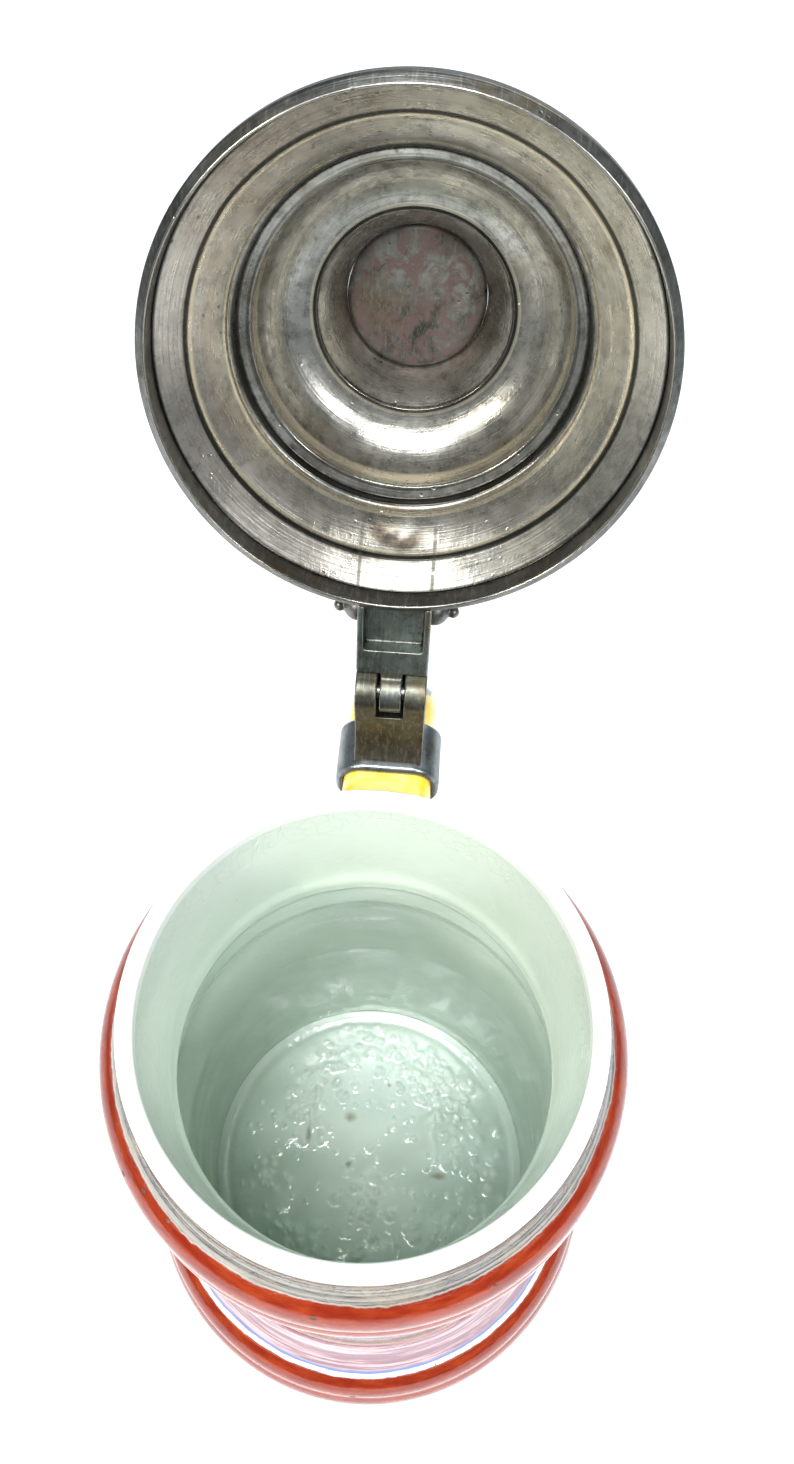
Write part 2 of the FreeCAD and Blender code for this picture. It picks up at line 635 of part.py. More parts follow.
def dome_outside():
    """Outside of the dome from the ring up to the flat round the disc, with two turned beads."""
    return [
        (SKIRT, above_seat("sizes.ring_rise * sizes.lid_wall")),
        (
            f"{STEP} + sizes.cove_low",
            above_seat("sizes.step_rise + 0.4 * sizes.lid_wall"),
            "left",
            "sizes.step_bead",
        ),
        (
            f"{STEP} - sizes.cove_high",
            above_seat("sizes.step_rise + 1.9 * sizes.lid_wall"),
            "right",
            "sizes.step_cove",
        ),
        (
            f"{BEAD} + sizes.rim_low",
            above_seat("sizes.bead_rise + 0.7 * sizes.lid_wall"),
            "left",
            "sizes.shoulder_bead",
        ),
        (f"{BEAD} + sizes.rim_high", above_seat("sizes.shoulder_rise + 0.7 * sizes.lid_wall")),
        (
            f"{SHOULDER} + sizes.rim_low",
            above_seat("sizes.shoulder_rise + 1.3 * sizes.lid_wall"),
            "left",
            "sizes.dome_curve",
        ),
        (
            f"{NECK} + sizes.collar_low",
            above_seat("sizes.neck_rise + 0.7 * sizes.lid_wall"),
            "left",
            "sizes.neck_bead",
        ),
        (
            f"{NECK} + sizes.rim_high",
            above_seat("sizes.neck_rise + 2.1 * sizes.lid_wall"),
            "right",
            "sizes.crown_cove",
        ),
        (f"{DISC} + sizes.disc_rim", above_seat("sizes.disc_rise + sizes.ring_lip")),
        (f"{DISC} + sizes.disc_rim", DISC_TOP),
        (DISC, DISC_TOP),
    ]


def make_lid_ring():
    """The ring round the lid: it hangs over the lip as a skirt."""
    body = new_body("lid_ring")
    sketch = new_sketch(body, "profile", "XZ_Plane")
    inside = [
        (SKIRT, above_seat("1.3 * sizes.lid_wall")),
        (SKIRT, "sizes.body_height - sizes.skirt_drop"),
    ]
    outline(sketch, lid_ring_outside() + inside)
    revolve(body, sketch)
    return body


def make_lid_dome():
    """The stepped dome, open at the top for the disc."""
    body = new_body("lid_dome")
    sketch = new_sketch(body, "profile", "XZ_Plane")
    outline(sketch, dome_outside() + reversed_outline(dome_inside()))
    revolve(body, sketch)
    return body


def reversed_outline(vertices):
    """The same lines and arcs walked the other way."""
    other = {"left": "right", "right": "left"}
    result = []
    for index in range(len(vertices) - 1, -1, -1):
        place = vertices[index][:2]
        before = vertices[index - 1] if index else ()
        curve = (other[before[2]], before[3]) if len(before) == 4 else ()
        result.append((*place, *curve))
    return result


def make_top_disc():
    """The disc that closes the top of the dome."""
    disc = doc.addObject("Part::Cylinder", "top_disc")
    disc.Label = "top_disc"
    disc.setExpression("Radius", DISC)
    disc.setExpression("Height", "sizes.disc_thick")
    return disc


def place_top_disc(disc):
    """Turns the disc open with the lid: its own base is at the disc's underside when closed."""
    turn_open(disc)
    angle = "sizes.open_angle"
    rise = f"({above_seat('sizes.disc_rise')} - {HINGE_Z})"
    disc.setExpression("Placement.Base.y", f"{HINGE_Y} - {HINGE_Y} * cos({angle}) + {rise} * sin({angle})")
    disc.setExpression("Placement.Base.z", f"{HINGE_Z} + {HINGE_Y} * sin({angle}) + {rise} * cos({angle})")


def make_finial():
    """The turned knob on the disc."""
    body = new_body("finial")
    sketch = new_sketch(body, "profile", "XZ_Plane")

    tip_radius = "(sizes.finial_radius * 0.36)"
    tip_rise = "(sizes.finial_height * 0.08)"

    def up(share):
        return f"({DISC_TOP} + {share} * sizes.finial_height)"

    outline(
        sketch,
        [
            ("0", DISC_TOP),
            ("sizes.finial_radius * 1.35", DISC_TOP),
            ("sizes.finial_radius * 1.35", up(0.06), "right", "sizes.finial_height * 0.3"),
            ("sizes.finial_radius * 0.5", up(0.26)),
            ("sizes.finial_radius * 0.72", up(0.31)),
            ("sizes.finial_radius * 0.5", up(0.37), "left", "sizes.finial_radius * 1.001"),
            (tip_radius, up(0.87)),
            (tip_radius, up(0.92), "left", f"({tip_radius}^2 + {tip_rise}^2) / (2 * {tip_rise})"),
            ("0", up(1.0)),
        ],
    )
    revolve(body, sketch)
    return body


def shank_outline():
    """Side view of the shank: ledge, bridge to the ring and a tongue up the dome's flange."""
    tongue_end = f"{STEP} - sizes.tongue_back"
    return [
        (ahead(SHANK_START), above_pin("-sizes.shank_under")),
        (ahead(SHANK_START), above_pin("sizes.shank_top")),
        (
            ahead(f"{SHANK_START} + sizes.shank_hump"),
            above_pin("sizes.shank_top + sizes.shank_rise"),
            "left",
            "sizes.shank_curve",
        ),
        (f"{STEP} + sizes.tongue_front", above_seat("sizes.step_rise + sizes.tongue_high")),
        (tongue_end, above_seat("sizes.step_rise + sizes.tongue_low")),
        (tongue_end, above_seat("sizes.step_rise - sizes.tongue_foot")),
        (SKIRT, above_pin("-sizes.shank_under")),
    ]


def lid_envelope():
    """Everything inside the closed lid's outer skin, as a half section."""
    ring = lid_ring_outside()
    return (
        [("0", "sizes.body_height - sizes.skirt_drop")]
        + ring
        + dome_outside()
        + [("0", DISC_TOP)]
    )


def make_lid_shank():
    """The shank from the lid to the hinge, with the middle knuckle."""
    body = new_body("lid_shank")
    side = new_sketch(body, "side", "YZ_Plane")
    outline(side, shank_outline())
    pad(body, side, HINGE_WIDTH)
    channel = new_sketch(body, "channel", "YZ_Plane")
    near = ahead(f"{SHANK_START} + sizes.ledge_length")
    roof = above_pin("sizes.channel_depth - sizes.shank_under")
    floor = above_pin("-sizes.shank_under - 1")
    far = f"{LID_EDGE} - sizes.cove_high"
    outline(channel, [(near, floor), (near, roof), (far, roof), (far, floor)])
    pocket(body, channel, f"{HINGE_WIDTH} - 2 * sizes.channel_wall")
    skin = new_sketch(body, "lid_skin", "XZ_Plane")
    outline(skin, lid_envelope())
    groove(body, skin)
    arm = new_sketch(body, "arm", "YZ_Plane")
    outline(
        arm,
        [
            (HINGE_Y, above_pin("-sizes.shank_under")),
            (HINGE_Y, above_pin("sizes.arm_top")),
            (ahead(f"{SHANK_START} + 1"), above_pin("sizes.arm_top")),
            (ahead(f"{SHANK_START} + 1"), above_pin("-sizes.shank_under")),
        ],
    )
    pad(body, arm, "sizes.knuckle_width")
    barrel = new_sketch(body, "barrel", "YZ_Plane")
    circle(barrel, (HINGE_Y, HINGE_Z), "sizes.barrel_radius")
    pad(body, barrel, "sizes.knuckle_width")
    bore = new_sketch(body, "bore", "YZ_Plane")
    circle(bore, (HINGE_Y, HINGE_Z), "sizes.pin_radius + sizes.pin_clearance")
    pocket(body, bore, f"{HINGE_WIDTH} + 2")
    return body


def make_thumblift():
    """The thumblift: a waisted plate on the shank with lobes at its foot and balls at its tips."""
    body = new_body("thumblift")
    plane_offset = f"-{ahead('sizes.thumb_place')}"
    half = "(sizes.thumb_width / 2)"
    lobe_out = f"({HINGE_WIDTH} / 2 + sizes.lobe_out)"
    foot_half = f"({HINGE_WIDTH} / 2 - sizes.thumb_foot)"
    head = "sizes.thumb_height - sizes.thumb_head"
    plate = new_sketch(body, "plate", "XZ_Plane", plane_offset)
    outline(
        plate,
        [
            (f"-{foot_half}", above_pin("sizes.thumb_low")),
            (foot_half, above_pin("sizes.thumb_low")),
            (lobe_out, above_pin("sizes.thumb_lobes"), "right", "sizes.lobe_curve"),
            ("sizes.thumb_neck", above_pin("sizes.thumb_waist"), "right", "sizes.head_curve"),
            (half, above_pin(head), "left", f"{half} * 1.1"),
            (f"-{half}", above_pin(head), "right", "sizes.head_curve"),
            ("-sizes.thumb_neck", above_pin("sizes.thumb_waist"), "right", "sizes.lobe_curve"),
            (f"-{lobe_out}", above_pin("sizes.thumb_lobes")),
        ],
    )
    pad(body, plate, "sizes.thumb_thick")
    balls = [
        (lobe_out, "sizes.thumb_lobes", "sizes.lobe_radius"),
        (
            f"{lobe_out} + sizes.lobe_radius + sizes.ball_gap",
            "sizes.thumb_lobes - sizes.ball_drop",
            "sizes.bead_ball",
        ),
        (half, head, "sizes.thumb_thick * 0.7"),
    ]
    plane = next(feature for feature in body.Origin.OriginFeatures if feature.Role == "XZ_Plane")
    for number, (across, height, radius) in enumerate(balls):
        for side, sign in (("left", "-"), ("right", "")):
            ball = body.newObject("PartDesign::AdditiveSphere", f"ball_{side}_{number}")
            ball.AttachmentSupport = [(plane, "")]
            ball.MapMode = "FlatFace"
            ball.setExpression("Radius", radius)
            ball.setExpression("AttachmentOffset.Base.x", f"{sign}({across})")
            ball.setExpression("AttachmentOffset.Base.y", above_pin(height))
            ball.setExpression("AttachmentOffset.Base.z", plane_offset)
            doc.recompute()
    foot = new_sketch(body, "foot", "YZ_Plane")
    outline(foot, shank_outline())
    pocket(body, foot, HINGE_WIDTH)
    return body


# ------------------------------------------------------------------------------------------- assembly


def make_lid():
    """Every lid piece, turned open."""
    pieces = [make_lid_ring(), make_lid_dome(), make_finial(), make_lid_shank(), make_thumblift()]
    for piece in pieces:
        turn_open(piece)
    disc = make_top_disc()
    place_top_disc(disc)
    return pieces + [disc]


def make_stein():
    """Every piece of the stein."""
    fixed = [make_mug_body(), make_lithophane(), make_handle(), make_handle_collar(), make_hinge_post()]
    return fixed + make_pin_and_plugs() + make_lid()


def check_model(pieces):
    """Stops the build when any object has failed or a piece is not one valid solid."""
    for item in doc.Objects:
        if "Invalid" in item.State or "Error" in item.State:
            raise RuntimeError(f"{item.Name} failed: {item.State}")
    for piece in pieces:
        if piece.Shape.isNull() or not piece.Shape.isValid() or len(piece.Shape.Solids) != 1:
            raise RuntimeError(f"{piece.Label} is not one valid solid")


def main():
    """Builds the stein and writes each piece to its own file."""
    pieces = make_stein()
    doc.recompute()
    check_model(pieces)
    os.makedirs("parts", exist_ok=True)
    for piece in pieces:
        piece.Shape.exportStep(f"parts/{piece.Label}.step")
        box = piece.Shape.BoundBox
        print(f"{piece.Label}: {piece.Shape.Volume / 1000:.2f} cm3, Z {box.ZMin:.1f} to {box.ZMax:.1f}")


main()
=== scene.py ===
"""Looks of a lidded porcelain stein with pewter fittings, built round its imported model."""

import json
import logging
import math
from dataclasses import dataclass, field
from enum import Enum

import bmesh
import bpy
import numpy as np
from mathutils import Matrix, Vector


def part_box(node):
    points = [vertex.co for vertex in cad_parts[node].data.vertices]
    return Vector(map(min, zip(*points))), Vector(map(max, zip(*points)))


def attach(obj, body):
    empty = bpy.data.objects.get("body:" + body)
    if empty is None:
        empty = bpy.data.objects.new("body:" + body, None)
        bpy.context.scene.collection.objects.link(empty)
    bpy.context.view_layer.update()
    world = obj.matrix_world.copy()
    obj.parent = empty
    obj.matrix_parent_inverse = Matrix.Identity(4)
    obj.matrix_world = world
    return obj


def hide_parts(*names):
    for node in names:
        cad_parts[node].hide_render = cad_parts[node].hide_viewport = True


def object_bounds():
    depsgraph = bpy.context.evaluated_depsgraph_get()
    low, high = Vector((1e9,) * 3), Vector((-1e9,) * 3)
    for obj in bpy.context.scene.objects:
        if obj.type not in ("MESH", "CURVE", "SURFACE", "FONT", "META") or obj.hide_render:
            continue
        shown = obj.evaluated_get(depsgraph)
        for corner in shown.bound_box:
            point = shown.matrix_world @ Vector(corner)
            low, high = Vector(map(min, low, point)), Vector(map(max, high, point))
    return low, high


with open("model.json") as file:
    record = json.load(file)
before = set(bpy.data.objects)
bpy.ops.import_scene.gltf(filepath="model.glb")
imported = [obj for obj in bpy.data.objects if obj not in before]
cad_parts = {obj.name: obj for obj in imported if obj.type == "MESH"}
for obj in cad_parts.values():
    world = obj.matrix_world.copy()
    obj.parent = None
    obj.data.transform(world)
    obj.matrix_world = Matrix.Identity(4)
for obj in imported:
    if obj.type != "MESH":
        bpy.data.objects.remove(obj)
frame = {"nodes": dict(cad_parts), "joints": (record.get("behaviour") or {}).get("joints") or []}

CAD_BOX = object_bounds()
MM = 0.001
LOG = logging.getLogger("stein")
Triple = tuple[float, float, float]
Colour = Triple
Socket = bpy.types.NodeSocket
Reading = Socket | float


# ------------------------------------------------------------------------------------ node trees


class Graph:
    """A node tree with short calls that add nodes and join them."""

    def __init__(self, tree: bpy.types.NodeTree) -> None:
        """Starts from an empty tree."""
        self.tree = tree
        tree.nodes.clear()

    def add(
        self, kind: str, values: dict[str | int, object] | None = None, out: int | str = 0, **props: object
    ) -> Socket | None:
        """Adds a node.

        Args:
            kind: the node's type.
            values: for each input, by name or number, a socket to join to it or a plain value.
            out: the output that is wanted, by name or number.
            props: the node's own settings.

        Returns:
            The output socket, or None from a node that has no outputs.
        """
        node = self.tree.nodes.new(kind)
        for name, setting in props.items():
            setattr(node, name, setting)
        for key, given in (values or {}).items():
            if isinstance(given, bpy.types.NodeSocket):
                self.tree.links.new(given, node.inputs[key])
            else:
                node.inputs[key].default_value = given
        return node.outputs[out] if len(node.outputs) else None

    def math(self, operation: str, first: Reading, second: Reading = 0.0) -> Socket:
        """One sum on numbers."""
        return self.add("ShaderNodeMath", {0: first, 1: second}, operation=operation)

    def rise(self, value: Reading, low: float, high: float) -> Socket:
        """0 below low, 1 above high and a smooth step between them."""
        values = {"Value": value, "From Min": low, "From Max": high}
        return self.add("ShaderNodeMapRange", values, interpolation_type="SMOOTHSTEP")

    def between(self, value: Reading, low: float, high: float, soft: float) -> Socket:
        """A window on a value.

        Args:
            value: what is read.
            low: where the window opens.
            high: where it shuts.
            soft: half the width of each of its edges.

        Returns:
            1 inside the window and 0 outside.
        """
        up = self.rise(value, low - soft, low + soft)
        down = self.rise(value, high - soft, high + soft)
        return self.math("SUBTRACT", up, down)

    def near(self, value: Reading, centre: float, width: float) -> Socket:
        """1 at the centre, falling to 0 at this distance from it."""
        off = self.math("ABSOLUTE", self.math("SUBTRACT", value, centre))
        return self.math("SUBTRACT", 1.0, self.rise(off, width * 0.35, width))


class Shade(Graph):
    """The node tree of one material, with a Principled surface."""

    def __init__(self, name: str) -> None:
        """Makes the material.

        Args:
            name: the material's name.
        """
        self.material = bpy.data.materials.new(name)
        self.material.use_nodes = True
        super().__init__(self.material.node_tree)
        self.place = self.add("ShaderNodeTexCoord", out="Object")

    def attribute(self, name: str, out: str = "Fac") -> Socket:
        """A value that the mesh carries at each of its points."""
        return self.add("ShaderNodeAttribute", out=out, attribute_name=name)

    def split(self, vector: Socket) -> tuple[Socket, Socket, Socket]:
        """The three parts of a vector."""
        x = self.add("ShaderNodeSeparateXYZ", {0: vector})
        return x, x.node.outputs[1], x.node.outputs[2]

    def noise(
        self, vector: Socket, scale: float, detail: float = 3.0, rough: float = 0.55, bend: float = 0.0
    ) -> Socket:
        """Cloudy noise from 0 to 1, scale in features a metre."""
        values = {"Vector": vector, "Scale": scale, "Detail": detail, "Roughness": rough, "Distortion": bend}
        return self.add("ShaderNodeTexNoise", values)

    def cells(self, vector: Socket, scale: float, feature: str = "F1", out: str = "Distance") -> Socket:
        """Distance to scattered points, or another reading of the same cells."""
        return self.add("ShaderNodeTexVoronoi", {"Vector": vector, "Scale": scale}, out=out, feature=feature)

    def stretch(self, vector: Socket, scale: Triple, turn: Triple = (0.0, 0.0, 0.0)) -> Socket:
        """The same place with each axis scaled, after a turn in degrees."""
        turn_by = [math.radians(angle) for angle in turn]
        return self.add("ShaderNodeMapping", {"Vector": vector, "Scale": scale, "Rotation": turn_by})

    def mix(self, share: Reading, first: Socket | Colour, second: Socket | Colour) -> Socket:
        """One colour over another.

        Args:
            share: how much of the second shows, from 0 to 1.
            first: the colour or socket below.
            second: the colour or socket above.

        Returns:
            The colour socket.
        """
        values = {0: share}
        for key, given in ((6, first), (7, second)):
            values[key] = (*given, 1.0) if isinstance(given, tuple) else given
        return self.add("ShaderNodeMix", values, out=2, data_type="RGBA")

    def blend(self, share: Reading, first: Reading, second: Reading) -> Socket:
        """One number over another."""
        return self.add("ShaderNodeMix", {0: share, 2: first, 3: second}, data_type="FLOAT")

    def times(self, first: Reading, second: Reading) -> Socket:
        """Product of two numbers."""
        return self.math("MULTIPLY", first, second)

    def scratches(self, vector: Socket, scale: float, turn: float, density: float) -> Socket:
        """Fine straight scratches one way.

        Args:
            vector: the place.
            scale: scratches a metre.
            turn: their direction in degrees.
            density: how easily one shows, from 0 to about 0.2.

        Returns:
            1 on a scratch and 0 beside it.
        """
        lines = self.noise(self.stretch(vector, (1.0, 0.035, 0.3), (0, 0, turn)), scale, 2.0, 0.5, 0.15)
        patchy = self.noise(vector, scale * 0.02 + 30.0, 2.0)
        level = self.math("SUBTRACT", 0.76 - density, self.times(patchy, 0.12))
        return self.rise(self.math("SUBTRACT", lines, level), 0.0, 0.05)

    def bump(
        self, height: Socket, distance: float, strength: Reading = 1.0, normal: Socket | None = None
    ) -> Socket:
        """A normal tilted by a height.

        Args:
            height: the height, where 1 stands the whole distance out.
            distance: that distance in metres.
            strength: share of the tilt that shows.
            normal: the normal below, if any.

        Returns:
            The normal.
        """
        values = {"Height": height, "Distance": distance, "Strength": strength}
        if normal is not None:
            values["Normal"] = normal
        return self.add("ShaderNodeBump", values)

    def surface(self, colour: Socket, rough: Reading, normal: Socket, **plain: float) -> bpy.types.Material:
        """Joins everything to the surface.

        Args:
            colour: base colour socket.
            rough: roughness, a socket or a number.
            normal: normal socket.
            plain: other inputs by name, with underscores for spaces, set as plain numbers.

        Returns:
            The finished material.
        """
        values = {"Base Color": colour, "Roughness": rough, "Normal": normal}
        values.update({name.replace("_", " "): given for name, given in plain.items()})
        shader = self.add("ShaderNodeBsdfPrincipled", values)
        self.add("ShaderNodeOutputMaterial", {"Surface": shader})
        return self.material


# --------------------------------------------------------------------------------------- finishes


@dataclass(frozen=True)
class BodyGlaze:
    """Glazes of the mug: a white lip, two red bands, a painted frieze and a pale green inside."""

    white: Colour = (0.86, 0.86, 0.83)
    white_cool: Colour = (0.60, 0.62, 0.62)
    lip: Colour = (0.90, 0.91, 0.89)
    red: Colour = (0.17, 0.012, 0.0025)
    red_thin: Colour = (0.27, 0.034, 0.007)
    red_lower: Colour = (0.26, 0.055, 0.032)
    red_pale: Colour = (0.52, 0.24, 0.18)
    celadon: Colour = (0.49, 0.585, 0.49)
    celadon_thin: Colour = (0.56, 0.65, 0.56)
    celadon_top: Colour = (0.70, 0.765, 0.69)
    celadon_warm: Colour = (0.46, 0.54, 0.40)
    biscuit: Colour = (0.60, 0.53, 0.43)
    iron: Colour = (0.035, 0.018, 0.012)
    iron_faint: Colour = (0.20, 0.19, 0.12)
    worn_dark: Colour = (0.045, 0.034, 0.028)
    worn_pale: Colour = (0.27, 0.26, 0.23)
    worn_tan: Colour = (0.30, 0.25, 0.17)
    sky_warm: Colour = (0.74, 0.68, 0.55)
    sky_blue: Colour = (0.42, 0.50, 0.62)
    sky_rose: Colour = (0.66, 0.46, 0.44)
    hills: Colour = (0.20, 0.27, 0.40)
    grass: Colour = (0.11, 0.17, 0.06)
    straw: Colour = (0.34, 0.29, 0.10)
    leaves: Colour = (0.055, 0.085, 0.03)
    outline: Colour = (0.07, 0.045, 0.035)
    purple: Colour = (0.20, 0.085, 0.12)
    pink: Colour = (0.50, 0.34, 0.36)
    blue_line: Colour = (0.09, 0.14, 0.38)
    foot_top: float = 21.4
    foot_line: float = 12.0
    band_low: float = 119.3
    band_line: float = 129.3
    band_top: float = 138.9
    collar_top: float = 146.3
    frieze: tuple[float, float] = (22.9, 112.5)

    def frieze_colour(self, s: Shade, z: Socket) -> Socket:
        """The painted frieze: a soft landscape of hills, trees and sky under a glaze.

        Args:
            s: the material being made.
            z: height in millimetres.

        Returns:
            Its colour.
        """
        broad = s.noise(s.place, 22.0, 4.0, 0.6, 0.4)
        fine = s.noise(s.place, 160.0, 5.0, 0.65, 0.6)
        sky = s.mix(s.rise(broad, 0.42, 0.66), self.sky_warm, self.sky_blue)
        sky = s.mix(s.times(s.rise(fine, 0.45, 0.7), 0.5), sky, self.sky_rose)
        far_line = s.math("ADD", s.times(broad, 46.0), 56.0)
        far = s.rise(s.math("SUBTRACT", far_line, z), -0.6, 0.9)
        colour = s.mix(far, sky, self.hills)
        near_line = s.math("ADD", s.times(s.noise(s.place, 34.0, 3.0, 0.5), 42.0), 33.0)
        near = s.rise(s.math("SUBTRACT", near_line, z), -0.5, 0.8)
        meadow = s.mix(s.rise(fine, 0.38, 0.62), self.grass, self.straw)
        colour = s.mix(near, colour, meadow)
        clumps = s.cells(s.stretch(s.place, (1.0, 1.0, 0.62)), 48.0)
        leafy = s.math("ADD", clumps, s.times(s.math("SUBTRACT", fine, 0.5), 0.8))
        trees = s.times(s.rise(s.math("SUBTRACT", 0.36, leafy), 0.0, 0.04), s.between(z, 36.0, 88.0, 6.0))
        colour = s.mix(trees, colour, self.leaves)
        lines = s.near(s.noise(s.place, 60.0, 4.0, 0.6, 0.8), 0.5, 0.016)
        drawn = s.times(s.times(lines, s.between(z, 30.0, 76.0, 6.0)), 0.5)
        colour = s.mix(drawn, colour, self.outline)
        low, high = self.frieze
        edge = s.math("MAXIMUM", s.between(z, low - 1.0, low + 19.0, 4.0), s.near(z, high - 1.2, 3.6))
        streak = s.noise(s.stretch(s.place, (1.0, 1.0, 16.0)), 34.0, 4.0, 0.7, 0.3)
        streaks = s.mix(s.rise(streak, 0.42, 0.58), self.purple, self.pink)
        colour = s.mix(edge, colour, streaks)
        return s.mix(s.near(z, low - 0.2, 2.0), colour, self.blue_line)

    def outside(self, s: Shade, z: Socket) -> Socket:
        """Colour of the outside by height, from the foot to the lip.

        Args:
            s: the material being made.
            z: height in millimetres.

        Returns:
            Its colour.
        """
        slow = s.noise(s.place, 70.0, 3.0, 0.6)
        quick = s.noise(s.place, 700.0, 3.0, 0.6)
        sway = s.times(s.math("SUBTRACT", slow, 0.5), 1.5)
        ragged = s.times(s.math("SUBTRACT", quick, 0.5), 0.5)
        brushed = s.math("ADD", z, s.math("ADD", sway, ragged))
        cloudy = s.noise(s.place, 95.0, 4.0, 0.7)
        white = s.mix(s.rise(cloudy, 0.4, 0.75), self.white, self.white_cool)
        painted = s.between(brushed, *self.frieze, 0.25)
        colour = s.mix(painted, white, self.frieze_colour(s, brushed))
        bands = s.math(
            "MAXIMUM",
            s.between(brushed, 0.9, self.foot_top, 0.22),
            s.between(brushed, self.band_low, self.band_top, 0.22),
        )
        streak = s.noise(s.stretch(s.place, (1.0, 1.0, 7.0)), 130.0, 4.0, 0.7)
        red = s.mix(s.rise(streak, 0.35, 0.72), self.red, self.red_thin)
        lower_roll = s.between(z, self.band_low, self.band_line - 0.4, 0.5)
        red = s.mix(s.times(lower_roll, 0.55), red, self.red_lower)
        thin = s.math("MAXIMUM", s.near(z, self.band_line, 1.5), s.near(z, self.foot_line, 1.7))
        red = s.mix(s.times(thin, s.blend(cloudy, 0.5, 1.2)), red, self.red_pale)
        colour = s.mix(bands, colour, red)
        collar = s.between(brushed, self.band_top, self.collar_top, 0.3)
        rings = s.noise(s.stretch(s.place, (1.0, 1.0, 60.0)), 16.0, 4.0, 0.75)
        worn = s.mix(s.rise(rings, 0.40, 0.62), self.worn_dark, self.worn_pale)
        worn = s.mix(s.times(s.rise(cloudy, 0.5, 0.7), 0.5), worn, self.worn_tan)
        colour = s.mix(collar, colour, worn)
        return s.mix(s.between(z, -1.0, 0.75, 0.1), colour, self.biscuit)

    def specks(self, s: Shade, scale: float, share: float, size: float) -> Socket:
        """Small round specks.

        Args:
            s: the material being made.
            scale: places a metre where one may be.
            share: how many of the places have one.
            size: radius as a share of the spacing.

        Returns:
            1 in a speck and 0 outside.
        """
        distance = s.cells(s.place, scale)
        chosen = s.rise(s.split(s.cells(s.place, scale, out="Color"))[0], 1.0 - share, 1.001 - share)
        rough_edge = s.math("ADD", distance, s.times(s.noise(s.place, scale * 9.0), 0.12))
        return s.times(chosen, s.math("SUBTRACT", 1.0, s.rise(rough_edge, size, size + 0.05)))

    def build(self) -> bpy.types.Material:
        """Makes the mug's material.

        Returns:
            The material.
        """
        s = Shade("mug_glazes")
        z = s.times(s.split(s.place)[2], 1000.0)
        inside = s.attribute("zone")
        pooled = s.noise(s.place, 38.0, 4.0, 0.6, 0.5)
        celadon = s.mix(s.rise(pooled, 0.35, 0.7), self.celadon, self.celadon_thin)
        pale_top = s.rise(z, 104.0, 147.0)
        celadon = s.mix(s.times(pale_top, 0.7), celadon, self.celadon_top)
        warmth = s.times(s.rise(s.noise(s.place, 12.0), 0.5, 0.75), 0.4)
        celadon = s.mix(warmth, celadon, self.celadon_warm)
        lip = s.rise(z, 146.0, 147.2)
        colour = s.mix(inside, self.outside(s, z), celadon)
        colour = s.mix(lip, colour, self.lip)
        dark = s.math("MAXIMUM", self.specks(s, 210.0, 0.10, 0.10), self.specks(s, 90.0, 0.05, 0.085))
        dark = s.times(dark, s.math("SUBTRACT", 1.0, s.math("MAXIMUM", inside, s.times(lip, 0.8))))
        colour = s.mix(s.times(dark, 0.9), colour, self.iron)
        faint = s.times(s.times(self.specks(s, 260.0, 0.05, 0.08), inside), 0.5)
        colour = s.mix(faint, colour, self.iron_faint)
        bare = s.between(z, -1.0, 0.8, 0.1)
        smear = s.noise(s.place, 55.0, 3.0, 0.6)
        rough = s.blend(bare, s.blend(s.rise(smear, 0.3, 0.8), 0.06, 0.17), 0.78)
        rough = s.blend(dark, rough, 0.6)
        peel = s.bump(s.noise(s.place, 620.0, 2.0, 0.5), 0.00006, 1.0)
        craze = s.math("SUBTRACT", 1.0, s.rise(s.cells(s.place, 420.0, "DISTANCE_TO_EDGE"), 0.0, 0.035))
        normal = s.bump(s.times(craze, s.between(z, 138.5, 146.5, 0.6)), -0.00008, 0.6, peel)
        normal = s.bump(s.noise(s.place, 2600.0), 0.00012, bare, normal)
        return s.surface(colour, rough, normal, IOR=1.52)


@dataclass(frozen=True)
class ReliefGlaze:
    """Pale green glaze over the moulded floor, pooled dark in the hollows, with iron spots."""

    thin: Colour = (0.66, 0.74, 0.67)
    pooled: Colour = (0.43, 0.52, 0.44)
    bluish: Colour = (0.56, 0.68, 0.64)
    spot: Colour = (0.17, 0.13, 0.055)
    spots: tuple[tuple[float, float, float, float], ...] = (
        (-17.0, 5.5, 0.75, 2.3),
        (-5.5, -1.5, 0.9, 0.8),
        (19.0, -2.5, 2.1, 0.9),
        (-6.0, 11.0, 1.6, 1.3),
        (4.0, 20.5, 0.7, 0.5),
    )

    def build(self) -> bpy.types.Material:
        """Makes the material.

        Returns:
            The material.
        """
        s = Shade("relief_glaze")
        x, y, _ = s.split(s.place)
        depth = s.attribute("depth")
        cloud = s.noise(s.place, 60.0, 4.0, 0.6, 0.5)
        colour = s.mix(s.rise(depth, 0.1, 0.8), self.pooled, self.thin)
        colour = s.mix(s.times(s.rise(cloud, 0.4, 0.7), 0.45), colour, self.bluish)
        wobble = s.times(s.math("SUBTRACT", s.noise(s.place, 900.0, 3.0), 0.5), 0.0009)
        for east, north, wide, tall in self.spots:
            across = s.math("DIVIDE", s.math("SUBTRACT", s.math("ADD", x, wobble), east * MM), wide * MM)
            along = s.math("DIVIDE", s.math("SUBTRACT", s.math("ADD", y, wobble), north * MM), tall * MM)
            away = s.math("SQRT", s.math("ADD", s.times(across, across), s.times(along, along)))
            colour = s.mix(s.times(s.math("SUBTRACT", 1.0, s.rise(away, 0.1, 1.5)), 0.62), colour, self.spot)
        fine = s.bump(s.noise(s.place, 480.0, 3.0, 0.55), 0.00012, 1.0)
        rough = s.blend(s.rise(cloud, 0.3, 0.8), 0.035, 0.09)
        return s.surface(colour, rough, fine, IOR=1.52)


